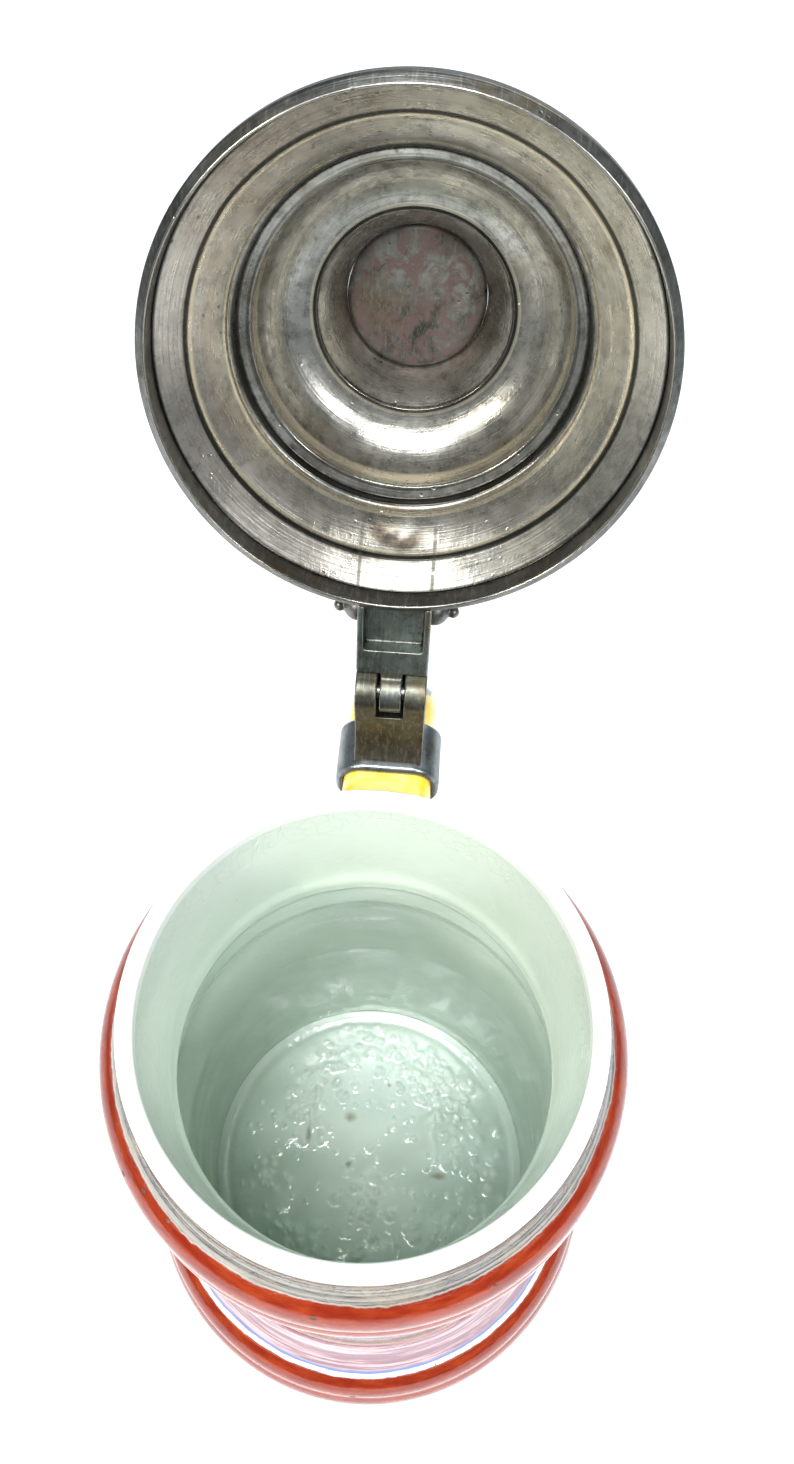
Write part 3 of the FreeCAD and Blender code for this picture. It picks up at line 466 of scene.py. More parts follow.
@dataclass(frozen=True)
class HandleGlaze:
    """Yellow glaze on the handle, with a slate-blue wash brushed along its back."""

    yellow: Colour = (0.80, 0.55, 0.03)
    cream: Colour = (0.86, 0.72, 0.26)
    slate: Colour = (0.035, 0.05, 0.07)
    slate_thin: Colour = (0.085, 0.11, 0.14)
    worn: Colour = (0.80, 0.76, 0.66)
    iron: Colour = (0.06, 0.035, 0.02)

    def build(self) -> bpy.types.Material:
        """Makes the material.

        Returns:
            The material.
        """
        s = Shade("handle_glaze")
        cloud = s.noise(s.place, 75.0, 4.0, 0.6, 0.4)
        colour = s.mix(s.rise(cloud, 0.35, 0.72), self.yellow, self.cream)
        back = s.attribute("back")
        strokes = s.noise(s.stretch(s.place, (4.0, 1.0, 0.5)), 240.0, 4.0, 0.65)
        ragged = s.math("ADD", back, s.times(s.math("SUBTRACT", strokes, 0.5), 0.55))
        washed = s.mix(s.rise(strokes, 0.35, 0.7), self.slate, self.slate_thin)
        colour = s.mix(s.rise(ragged, 0.42, 0.56), colour, washed)
        wear = s.rise(s.math("ADD", s.attribute("wear"), s.times(cloud, 0.3)), 0.62, 0.85)
        colour = s.mix(s.times(wear, 0.5), colour, self.worn)
        dots = BodyGlaze().specks(s, 240.0, 0.12, 0.09)
        colour = s.mix(s.times(dots, 0.85), colour, self.iron)
        rough = s.blend(s.rise(cloud, 0.3, 0.8), 0.07, 0.20)
        return s.surface(colour, rough, s.bump(s.noise(s.place, 560.0, 2.0), 0.00008), IOR=1.52)


@dataclass(frozen=True)
class Pewter:
    """Old pewter: grey on its worn edges and dark in its hollows, scratched and a little pitted."""

    name: str
    bright: Colour = (0.24, 0.243, 0.225)
    grey: Colour = (0.13, 0.131, 0.118)
    dark: Colour = (0.022, 0.021, 0.017)
    warm: Colour = (0.13, 0.10, 0.05)
    rubbed: Colour = (0.30, 0.29, 0.26)
    scratch: Colour = (0.40, 0.40, 0.37)
    tarnish: float = 0.5
    rough: float = 0.40
    turning: bool = False
    hatch: float = 0.0

    def ground(self, s: Shade) -> Socket:
        """The tarnished ground colour before any marks.

        Args:
            s: the material being made.

        Returns:
            Its colour.
        """
        broad = s.noise(s.place, 45.0, 5.0, 0.65, 0.6)
        mottle = s.noise(s.place, 420.0, 4.0, 0.7)
        colour = s.mix(s.rise(broad, 0.36, 0.66), self.grey, self.bright)
        colour = s.mix(s.times(s.rise(mottle, 0.45, 0.72), 0.5), colour, self.dark)
        patches = s.rise(s.noise(s.place, 95.0, 5.0, 0.7, 0.9), 0.56 - 0.14 * self.tarnish, 0.75)
        colour = s.mix(s.times(patches, 0.35 + 0.6 * self.tarnish), colour, self.dark)
        blush = s.rise(s.noise(s.stretch(s.place, (1.0, 1.0, 1.4)), 62.0, 3.0), 0.52, 0.72)
        return s.mix(s.times(blush, 0.6), colour, self.warm)

    def marks(self, s: Shade) -> Socket:
        """Fine scratches every way over the metal.

        Args:
            s: the material being made.

        Returns:
            1 on a scratch and 0 beside it.
        """
        lines = s.scratches(s.place, 1500.0, 23.0, 0.10)
        for turn, scale in ((-41.0, 1150.0), (74.0, 1900.0)):
            lines = s.math("MAXIMUM", lines, s.scratches(s.place, scale, turn, 0.07))
        return lines

    def extra(self, s: Shade, colour: Socket, rough: Socket) -> tuple[Socket, Socket]:
        """Marks that only some pieces have; none here."""
        return colour, rough

    def build(self) -> bpy.types.Material:
        """Makes the material.

        Returns:
            The material.
        """
        s = Shade(self.name)
        colour = self.ground(s)
        grain = s.noise(s.place, 900.0, 4.0, 0.7)
        wear = s.math("ADD", s.attribute("wear"), s.times(s.math("SUBTRACT", grain, 0.5), 0.35))
        colour = s.mix(s.math("SUBTRACT", 1.0, s.rise(wear, 0.25, 0.47)), colour, self.dark)
        colour = s.mix(s.times(s.rise(wear, 0.60, 0.82), 0.7), colour, self.rubbed)
        lines = self.marks(s)
        colour = s.mix(s.times(lines, 0.16), colour, self.scratch)
        pits = s.math("SUBTRACT", 1.0, s.rise(s.cells(s.place, 520.0), 0.10, 0.20))
        pits = s.times(pits, s.rise(s.noise(s.place, 70.0), 0.5, 0.65))
        colour = s.mix(s.times(pits, 0.8), colour, self.dark)
        smear = s.noise(s.place, 150.0, 4.0, 0.6)
        rough = s.blend(smear, self.rough - 0.14, self.rough + 0.16)
        rough = s.math("SUBTRACT", rough, s.times(s.rise(wear, 0.55, 0.8), 0.12))
        colour, rough = self.extra(s, colour, rough)
        normal = s.bump(grain, 0.00005, 0.8)
        if self.turning:
            x, y, z = s.split(s.attribute("turned", "Vector"))
            radius = s.math("SQRT", s.math("ADD", s.times(x, x), s.times(y, y)))
            lathe = s.add("ShaderNodeCombineXYZ", {0: radius, 1: z, 2: s.times(x, 0.02)})
            rings = s.noise(lathe, 2600.0, 2.0, 0.6)
            normal = s.bump(rings, 0.00005, 0.9, normal)
            rough = s.math("ADD", rough, s.times(s.math("SUBTRACT", rings, 0.5), 0.14))
            colour = s.mix(s.times(s.rise(rings, 0.52, 0.7), 0.30), colour, self.dark)
        if self.hatch:
            file_marks = s.noise(s.stretch(s.place, (1.0, 0.05, 0.05), (0, 0, 12)), 2100.0, 2.0, 0.6)
            normal = s.bump(file_marks, 0.00007, self.hatch, normal)
            colour = s.mix(s.times(s.rise(file_marks, 0.5, 0.66), 0.5 * self.hatch), colour, self.bright)
        normal = s.bump(s.math("MAXIMUM", s.times(lines, 0.07), pits), -0.00008, 0.8, normal)
        return s.surface(colour, rough, normal, Metallic=0.92)


@dataclass(frozen=True)
class DomePewter(Pewter):
    """The dome's pewter, with the traces left where its hinge straps were soldered."""

    flange_reflection: Colour = (0.47, 0.44, 0.36)
    flange_reflection_rosy: Colour = (0.42, 0.33, 0.30)
    painted_groove_shade: Colour = (0.02, 0.019, 0.016)
    painted_highlight: Colour = (0.70, 0.64, 0.50)
    burnt: Colour = (0.014, 0.012, 0.010)
    scorched: Colour = (0.085, 0.060, 0.040)
    solder_line: Colour = (0.03, 0.027, 0.02)
    black_spot: Colour = (0.02, 0.017, 0.012)
    flange: tuple[float, float] = (33.4, 41.6)
    painted_shade_grooves: tuple[Triple, ...] = (
        (37.65, 0.55, 0.95),
        (31.0, 0.8, 0.9),
        (28.9, 0.5, 0.6),
        (18.5, 0.5, 0.9),
        (42.2, 0.5, 1.0),
    )
    edges: tuple[tuple[float, float], ...] = ((37.0, 0.4), (32.2, 0.45), (28.2, 0.35), (19.1, 0.4))

    def extra(self, s: Shade, colour: Socket, rough: Socket) -> tuple[Socket, Socket]:
        """Painted shade in the turned grooves, painted highlights on their edges, a pale flange of painted
        reflection and the solder's crescent.

        Args:
            s: the material being made.
            colour: colour so far.
            rough: roughness so far.

        Returns:
            The colour and the roughness.
        """
        x, y, z = (s.times(part, 1000.0) for part in s.split(s.attribute("turned", "Vector")))
        radius = s.math("SQRT", s.math("ADD", s.times(x, x), s.times(y, y)))
        grain = s.noise(s.place, 380.0, 4.0, 0.7)
        # Painted reflection: the flange's pale gilt tone, rosier on the left, stands in for the lights
        # reflected on it.
        flange = s.times(s.between(radius, *self.flange, 0.8), s.rise(grain, 0.2, 0.7))
        colour = s.mix(s.times(flange, 0.45), colour, self.flange_reflection)
        left = s.times(s.math("SUBTRACT", 1.0, s.rise(x, -24.0, 4.0)), flange)
        colour = s.mix(s.times(left, 0.35), colour, self.flange_reflection_rosy)
        # Painted shade: dark lines along the turned grooves and in the corner where the dome meets the ring.
        for place, width, amount in self.painted_shade_grooves:
            colour = s.mix(s.times(s.near(radius, place, width), amount), colour, self.painted_groove_shade)
        # Painted highlights: bright lines along the turned edges of the dome's steps.
        for place, width in self.edges:
            colour = s.mix(s.times(s.near(radius, place, width), 0.8), colour, self.painted_highlight)
        ragged = s.times(s.math("SUBTRACT", s.noise(s.place, 260.0, 4.0, 0.7), 0.5), 2.6)
        crescent_y = s.math("ADD", y, s.math("ADD", ragged, s.times(s.times(x, x), 0.07)))
        crescent_x = s.math("ADD", x, ragged)
        crescent = s.times(s.near(crescent_x, -0.9, 8.5), s.between(crescent_y, 34.4, 36.8, 0.9))
        scar = s.mix(s.rise(grain, 0.4, 0.65), self.burnt, self.scorched)
        colour = s.mix(s.times(crescent, 0.92), colour, scar)
        straps = s.math("MAXIMUM", s.near(x, -7.2, 0.55), s.near(x, 6.6, 0.55))
        straps = s.times(straps, s.times(s.between(y, 33.0, 41.8, 0.6), s.rise(grain, 0.3, 0.5)))
        colour = s.mix(s.times(straps, 0.7), colour, self.solder_line)
        spots = BodyGlaze().specks(s, 150.0, 0.10, 0.11)
        spots = s.times(spots, s.rise(s.math("SUBTRACT", s.times(y, -1.0), s.times(x, 0.7)), 6.0, 24.0))
        colour = s.mix(s.times(spots, 0.85), colour, self.black_spot)
        rough = s.math("ADD", rough, s.times(s.math("MAXIMUM", crescent, straps), 0.2))
        return colour, rough


@dataclass(frozen=True)
class DiscPewter(Pewter):
    """The disc's mottled pewter: reddish and grey where acid has etched it."""

    rust: Colour = (0.17, 0.12, 0.11)
    etched: Colour = (0.05, 0.042, 0.042)

    def extra(self, s: Shade, colour: Socket, rough: Socket) -> tuple[Socket, Socket]:
        """Blotches of red-brown and black.

        Args:
            s: the material being made.
            colour: colour so far.
            rough: roughness so far.

        Returns:
            The colour and the roughness.
        """
        blots = s.noise(s.place, 260.0, 6.0, 0.75, 1.2)
        colour = s.mix(s.rise(blots, 0.42, 0.60), colour, self.rust)
        bitten = s.rise(s.noise(s.place, 340.0, 6.0, 0.8, 1.0), 0.56, 0.74)
        colour = s.mix(bitten, colour, self.etched)
        return colour, s.math("ADD", rough, s.times(blots, 0.18))


@dataclass(frozen=True)
class Steel:
    """The hinge pin's drawn steel, oiled brown in places."""

    bright: Colour = (0.30, 0.29, 0.27)
    oiled: Colour = (0.12, 0.085, 0.05)

    def build(self) -> bpy.types.Material:
        """Makes the material.

        Returns:
            The material.
        """
        s = Shade("pin_steel")
        cloud = s.noise(s.place, 700.0, 4.0, 0.7)
        colour = s.mix(s.rise(cloud, 0.4, 0.65), self.bright, self.oiled)
        drawn = s.noise(s.stretch(s.place, (0.05, 1.0, 1.0)), 6000.0, 2.0)
        return s.surface(colour, s.blend(cloud, 0.25, 0.5), s.bump(drawn, 0.00003), Metallic=1.0)


@dataclass(frozen=True)
class Speck:
    """Iron-brown flecks under the glaze and chips through it."""

    iron: Colour = (0.030, 0.016, 0.010)
    chip: Colour = (0.16, 0.12, 0.085)

    def build(self) -> bpy.types.Material:
        """Makes the material.

        Returns:
            The material.
        """
        s = Shade("glaze_fleck")
        cloud = s.noise(s.place, 1800.0, 3.0, 0.7)
        colour = s.mix(s.rise(cloud, 0.4, 0.65), self.iron, self.chip)
        return s.surface(colour, s.blend(cloud, 0.35, 0.8), s.bump(cloud, 0.00005))


@dataclass(frozen=True)
class FloorPaper:
    """Plain pale paper under the stein."""

    colour: Colour = (0.90, 0.93, 0.95)
    shade: Colour = (0.84, 0.87, 0.93)

    def build(self) -> bpy.types.Material:
        """Makes the material.

        Returns:
            The material.
        """
        s = Shade("floor_paper")
        cloud = s.noise(s.place, 3.0, 4.0, 0.5)
        colour = s.mix(s.times(cloud, 0.25), self.colour, self.shade)
        return s.surface(colour, 0.85, s.bump(s.noise(s.place, 900.0), 0.0001, 0.4))


# ------------------------------------------------------------------------------------- mesh tools


class Side(Enum):
    """Side of the way along a profile that an arc's centre lies on."""

    LEFT = 1.0
    RIGHT = -1.0


class Zone(Enum):
    """Which glaze a stretch of the mug's profile has."""

    OUTSIDE = 0.0
    INSIDE = 1.0


@dataclass(frozen=True)
class Corner:
    """A corner of a turned profile in millimetres, with the arc that leaves it, if any."""

    radius: float
    height: float
    side: Side | None = None
    bend: float = 0.0
    step: float = 0.7
    zone: Zone = Zone.OUTSIDE
    soft: float = 0.0


@dataclass
class Profile:
    """A turned profile, walked so that the solid is on its left."""

    corners: list[Corner]
    closed: bool = True
    rounding: int = 3

    def run(self, start: Corner, end: Corner) -> list[tuple[float, float]]:
        """Points from one corner up to the next.

        Args:
            start: the corner that the line or arc leaves.
            end: the next corner.

        Returns:
            Pairs of radius and height, without the last.
        """
        a = np.array([start.radius, start.height])
        b = np.array([end.radius, end.height])
        chord = float(np.linalg.norm(b - a))
        if start.side is None:
            count = max(1, round(chord / start.step))
            return [tuple(a + (b - a) * k / count) for k in range(count)]
        left = np.array([a[1] - b[1], b[0] - a[0]]) / chord
        away = math.sqrt(max(start.bend**2 - chord * chord / 4, 0.0))
        centre = (a + b) / 2 + left * away * start.side.value
        first = math.atan2(*(a - centre)[::-1])
        sweep = (math.atan2(*(b - centre)[::-1]) - first + math.pi) % (2 * math.pi) - math.pi
        count = max(3, round(abs(sweep) * start.bend / start.step))
        angles = [first + sweep * k / count for k in range(count)]
        return [tuple(centre + start.bend * np.array([math.cos(t), math.sin(t)])) for t in angles]

    def points(self) -> tuple[np.ndarray, np.ndarray, np.ndarray]:
        """Samples the whole profile and eases its corners.

        Returns:
            Points of radius and height in metres, the zone of each and how soft the clay was there.
        """
        places, zones, softs = [], [], []
        ends = self.corners[1:] + ([self.corners[0]] if self.closed else [])
        for start, end in zip(self.corners, ends):
            made = self.run(start, end)
            places += made
            zones += [start.zone.value] * len(made)
            softs += [start.soft] * len(made)
        last = self.corners[0] if self.closed else self.corners[-1]
        places.append((last.radius, last.height))
        zones.append(zones[0] if self.closed else zones[-1])
        softs.append(softs[0] if self.closed else softs[-1])
        line = np.array(places)
        for _ in range(self.rounding):
            eased = line.copy()
            eased[1:-1] = line[1:-1] * 0.5 + (line[:-2] + line[2:]) * 0.25
            line = eased
        soft = np.convolve(np.pad(softs, 6, mode="edge"), np.ones(13) / 13, mode="valid")
        return line * MM, np.array(zones), soft


def merged_copy(nodes: list[str], name: str) -> bpy.types.Object:
    """A new object from the CAD nodes, their loose triangles joined.

    Args:
        nodes: names of the CAD nodes.
        name: the new object's name.

    Returns:
        The object, linked to the scene.
    """
    gathered = bmesh.new()
    for node in nodes:
        gathered.from_mesh(frame["nodes"][node].data)
    bmesh.ops.remove_doubles(gathered, verts=gathered.verts, dist=1e-6)
    mesh = bpy.data.meshes.new(name)
    gathered.to_mesh(mesh)
    gathered.free()
    return linked(name, mesh)


def linked(name: str, mesh: bpy.types.Mesh) -> bpy.types.Object:
    """A new object in the scene.

    Args:
        name: its name.
        mesh: its mesh.

    Returns:
        The object.
    """
    made = bpy.data.objects.new(name, mesh)
    bpy.context.scene.collection.objects.link(made)
    return made


def flatten(made: bpy.types.Object) -> bpy.types.Object:
    """Turns an object's modifiers into plain mesh and removes them.

    Args:
        made: the object.

    Returns:
        The same object.
    """
    ready = made.evaluated_get(bpy.context.evaluated_depsgraph_get())
    mesh = bpy.data.meshes.new_from_object(ready)
    made.modifiers.clear()
    made.data = mesh
    mesh.name = made.name
    return made


def coordinates(mesh: bpy.types.Mesh) -> np.ndarray:
    """The mesh's points.

    Args:
        mesh: the mesh.

    Returns:
        A row for each point.
    """
    flat = np.zeros(len(mesh.vertices) * 3)
    mesh.vertices.foreach_get("co", flat)
    return flat.reshape(-1, 3)


def directions(mesh: bpy.types.Mesh) -> np.ndarray:
    """The normals at the mesh's points.

    Args:
        mesh: the mesh.

    Returns:
        A row for each point.
    """
    flat = np.zeros(len(mesh.vertices) * 3)
    mesh.vertex_normals.foreach_get("vector", flat)
    return flat.reshape(-1, 3)


def move_to(mesh: bpy.types.Mesh, places: np.ndarray) -> None:
    """Puts the mesh's points at these rows."""
    mesh.vertices.foreach_set("co", np.ascontiguousarray(places, dtype=np.float32).ravel())
    mesh.update()


def keep(mesh: bpy.types.Mesh, name: str, values: np.ndarray) -> None:
    """Stores a number at each of the mesh's points.

    Args:
        mesh: the mesh.
        name: the attribute's name; one already there is replaced.
        values: the numbers.
    """
    old = mesh.attributes.get(name)
    if old:
        mesh.attributes.remove(old)
    mesh.attributes.new(name, "FLOAT", "POINT").data.foreach_set("value", values.astype(np.float32))


def store_wear(mesh: bpy.types.Mesh, reach: int = 3, gain: float = 1.6) -> None:
    """Stores how far each point stands out: near 1 on an edge, 0.5 on a flat and near 0 in a corner.

    Args:
        mesh: the mesh.
        reach: times the reading is spread to the neighbours.
        gain: how strongly a bend counts.
    """
    pairs = np.zeros(len(mesh.edges) * 2, dtype=np.int64)
    mesh.edges.foreach_get("vertices", pairs)
    first, second = pairs.reshape(-1, 2).T
    places, normals = coordinates(mesh), directions(mesh)
    along = places[first] - places[second]
    along /= np.maximum(np.linalg.norm(along, axis=1, keepdims=True), 1e-12)
    total = len(places)
    share = np.maximum(np.bincount(first, minlength=total) + np.bincount(second, minlength=total), 1)
    at_first = np.einsum("ij,ij->i", along, normals[first])
    at_second = -np.einsum("ij,ij->i", along, normals[second])
    bend = np.bincount(first, at_first, total) + np.bincount(second, at_second, total)
    bend = bend / share
    for _ in range(reach):
        spread = np.bincount(first, bend[second], total) + np.bincount(second, bend[first], total)
        bend = bend * 0.5 + spread / share * 0.5
    keep(mesh, "wear", np.clip(0.5 + bend * gain, 0.0, 1.0))


def smooth_field(places: np.ndarray, size: float, seed: int) -> np.ndarray:
    """A smooth random field from -1 to 1, made of a few waves.

    Args:
        places: rows of points in metres.
        size: rough size of its swells in metres.
        seed: which field.

    Returns:
        One number for each row.
    """
    random = np.random.default_rng(seed)
    total = np.zeros(len(places))
    for _ in range(9):
        wave = random.normal(size=3) / size
        total += np.sin(places @ wave * 2.2 + random.uniform(0, 2 * math.pi))
    return total / 4.5


def finished(
    made: bpy.types.Object, body: str, nodes: list[str], material: bpy.types.Material
) -> None:
    """Dresses a piece and joins it to its body.

    Args:
        made: the piece.
        body: the CAD body that it moves with.
        nodes: CAD nodes that it stands for.
        material: its material.
    """
    made.data.materials.clear()
    made.data.materials.append(material)
    made.data.shade_smooth()
    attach(made, body)
    if nodes:
        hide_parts(*nodes)
    triangles = sum(len(face.vertices) - 2 for face in made.data.polygons)
    LOG.info("%s: %d triangles on %s", made.name, triangles, body)


# ----------------------------------------------------------------------------------- geometry trees


class Lathe(Graph):
    """Geometry nodes that turn a profile round the upright axis."""

    def __init__(self) -> None:
        """Builds the tree once; every turned piece shares it."""
        tree = bpy.data.node_groups.new("lathe", "GeometryNodeTree")
        super().__init__(tree)
        for name, kind in (
            ("Profile", "NodeSocketGeometry"),
            ("Around", "NodeSocketInt"),
            ("Rows", "NodeSocketInt"),
            ("Ripple", "NodeSocketFloat"),
            ("Ripples a Metre", "NodeSocketFloat"),
            ("Finish", "NodeSocketMaterial"),
        ):
            tree.interface.new_socket(name=name, in_out="INPUT", socket_type=kind)
        tree.interface.new_socket(name="Piece", in_out="OUTPUT", socket_type="NodeSocketGeometry")
        given = tree.nodes.new("NodeGroupInput").outputs
        columns = self.math("ADD", given["Around"], 1.0)
        grid = self.add(
            "GeometryNodeMeshGrid",
            {"Size X": 1.0, "Size Y": 1.0, "Vertices X": columns, "Vertices Y": given["Rows"]},
        )
        spot = self.add("ShaderNodeSeparateXYZ", {0: self.add("GeometryNodeInputPosition")})
        angle = self.math("MULTIPLY", self.math("ADD", spot, 0.5), 2 * math.pi)
        last = self.math("SUBTRACT", given["Rows"], 1.0)
        row = self.math("ROUND", self.math("MULTIPLY", self.math("ADD", spot.node.outputs[1], 0.5), last))
        here = self.sampled(given["Profile"], row, self.add("GeometryNodeInputPosition"), "FLOAT_VECTOR")
        point = self.add("ShaderNodeSeparateXYZ", {0: here})
        x = self.math("MULTIPLY", point, self.math("COSINE", angle))
        y = self.math("MULTIPLY", point, self.math("SINE", angle))
        place = self.add("ShaderNodeCombineXYZ", {0: x, 1: y, 2: point.node.outputs[2]})
        kept = grid
        for name in ("zone", "soft"):
            read = self.add("GeometryNodeInputNamedAttribute", {"Name": name}, data_type="FLOAT")
            picked = self.sampled(given["Profile"], row, read, "FLOAT")
            kept = self.stored(kept, name, picked, "FLOAT")
        turned = self.add("GeometryNodeSetPosition", {"Geometry": kept, "Position": place})
        closed = self.add("GeometryNodeMergeByDistance", {"Geometry": turned, "Distance": 2e-6})
        marked = self.stored(closed, "turned", self.add("GeometryNodeInputPosition"), "FLOAT_VECTOR")
        wave = self.add(
            "ShaderNodeTexNoise", {"Scale": given["Ripples a Metre"], "Detail": 2.0, "Roughness": 0.4}
        )
        soft = self.add("GeometryNodeInputNamedAttribute", {"Name": "soft"}, data_type="FLOAT")
        reach = self.math("MULTIPLY", given["Ripple"], soft)
        push = self.math("MULTIPLY", self.math("SUBTRACT", wave, 0.5), reach)
        normal = self.add("GeometryNodeInputNormal")
        offset = self.add("ShaderNodeVectorMath", {0: normal, "Scale": push}, operation="SCALE")
        rippled = self.add("GeometryNodeSetPosition", {"Geometry": marked, "Offset": offset})
        real = self.add("GeometryNodeRealizeInstances", {"Geometry": rippled})
        dressed = self.add("GeometryNodeSetMaterial", {"Geometry": real, "Material": given["Finish"]})
        self.add("NodeGroupOutput", {0: dressed})

    def sampled(self, source: Socket, row: Socket, value: Socket, kind: str) -> Socket:
        """The value at one point of the profile."""
        values = {"Geometry": source, "Value": value, "Index": row}
        return self.add("GeometryNodeSampleIndex", values, data_type=kind, domain="POINT")

    def stored(self, geometry: Socket, name: str, value: Socket, kind: str) -> Socket:
        """The geometry with a value kept at each point."""
        values = {"Geometry": geometry, "Name": name, "Value": value}
        return self.add("GeometryNodeStoreNamedAttribute", values, data_type=kind, domain="POINT")

    def turn(
        self,
        name: str,
        profile: Profile,
        material: bpy.types.Material,
        around: int = 224,
        ripple: float = 0.0,
        ripples: float = 40.0,
    ) -> bpy.types.Object:
        """Turns one piece.

        Args:
            name: the piece's name.
            profile: what is turned.
            material: its finish.
            around: steps round the axis.
            ripple: how far its softest stretches wander, in metres.
            ripples: waves a metre.

        Returns:
            The piece as a plain mesh.
        """
        line, zones, soft = profile.points()
        mesh = bpy.data.meshes.new(name)
        rows = [(radius, 0.0, height) for radius, height in line]
        mesh.from_pydata(rows, [(k, k + 1) for k in range(len(rows) - 1)], [])
        keep(mesh, "zone", zones)
        keep(mesh, "soft", soft)
        made = linked(name, mesh)
        settings = {
            "Around": around,
            "Rows": len(rows),
            "Ripple": ripple,
            "Ripples a Metre": ripples,
            "Finish": material,
        }
        run_tree(made, self.tree, settings)
        return made


def run_tree(made: bpy.types.Object, tree: bpy.types.NodeTree, settings: dict[str, object]) -> None:
    """Runs a geometry tree on an object and keeps the result as its mesh.

    Args:
        made: the object.
        tree: the geometry node tree.
        settings: the tree's inputs by name.
    """
    modifier = made.modifiers.new(tree.name, "NODES")
    modifier.node_group = tree
    for item in tree.interface.items_tree:
        if item.item_type == "SOCKET" and item.in_out == "INPUT" and item.name in settings:
            modifier[item.identifier] = settings[item.name]
    flatten(made)


class Scatter(Graph):
    """Geometry nodes that strew small flat flakes over part of a surface."""

    def __init__(self) -> None:
        """Builds the tree."""
        tree = bpy.data.node_groups.new("scatter", "GeometryNodeTree")
        super().__init__(tree)
        for name, kind in (
            ("Surface", "NodeSocketGeometry"),
            ("Density", "NodeSocketFloat"),
            ("Smallest", "NodeSocketFloat"),
            ("Largest", "NodeSocketFloat"),
            ("Seed", "NodeSocketInt"),
            ("Finish", "NodeSocketMaterial"),
        ):
            tree.interface.new_socket(name=name, in_out="INPUT", socket_type=kind)
        tree.interface.new_socket(name="Flakes", in_out="OUTPUT", socket_type="NodeSocketGeometry")
        given = tree.nodes.new("NodeGroupInput").outputs
        where = self.add("GeometryNodeInputNamedAttribute", {"Name": "flecked"}, data_type="FLOAT")
        density = self.math("MULTIPLY", given["Density"], where)
        points = self.add(
            "GeometryNodeDistributePointsOnFaces",
            {"Mesh": given["Surface"], "Density": density, "Seed": given["Seed"]},
        )
        facing = points.node.outputs["Rotation"]
        size = self.add(
            "FunctionNodeRandomValue",
            {2: given["Smallest"], 3: given["Largest"], "Seed": given["Seed"]},
            out=1,
            data_type="FLOAT",
        )
        shape = self.add("GeometryNodeMeshIcoSphere", {"Radius": 1.0, "Subdivisions": 2})
        long = self.add("FunctionNodeRandomValue", {2: 0.7, 3: 1.9, "Seed": 5}, out=1, data_type="FLOAT")
        shape_size = self.add(
            "ShaderNodeCombineXYZ",
            {0: self.math("MULTIPLY", size, long), 1: size, 2: self.math("MULTIPLY", size, 0.16)},
        )
        placed = self.add(
            "GeometryNodeInstanceOnPoints",
            {"Points": points, "Instance": shape, "Rotation": facing, "Scale": shape_size},
        )
        real = self.add("GeometryNodeRealizeInstances", {"Geometry": placed})
        dressed = self.add("GeometryNodeSetMaterial", {"Geometry": real, "Material": given["Finish"]})
        self.add("NodeGroupOutput", {0: dressed})


# ------------------------------------------------------------------------------------ sub-assemblies


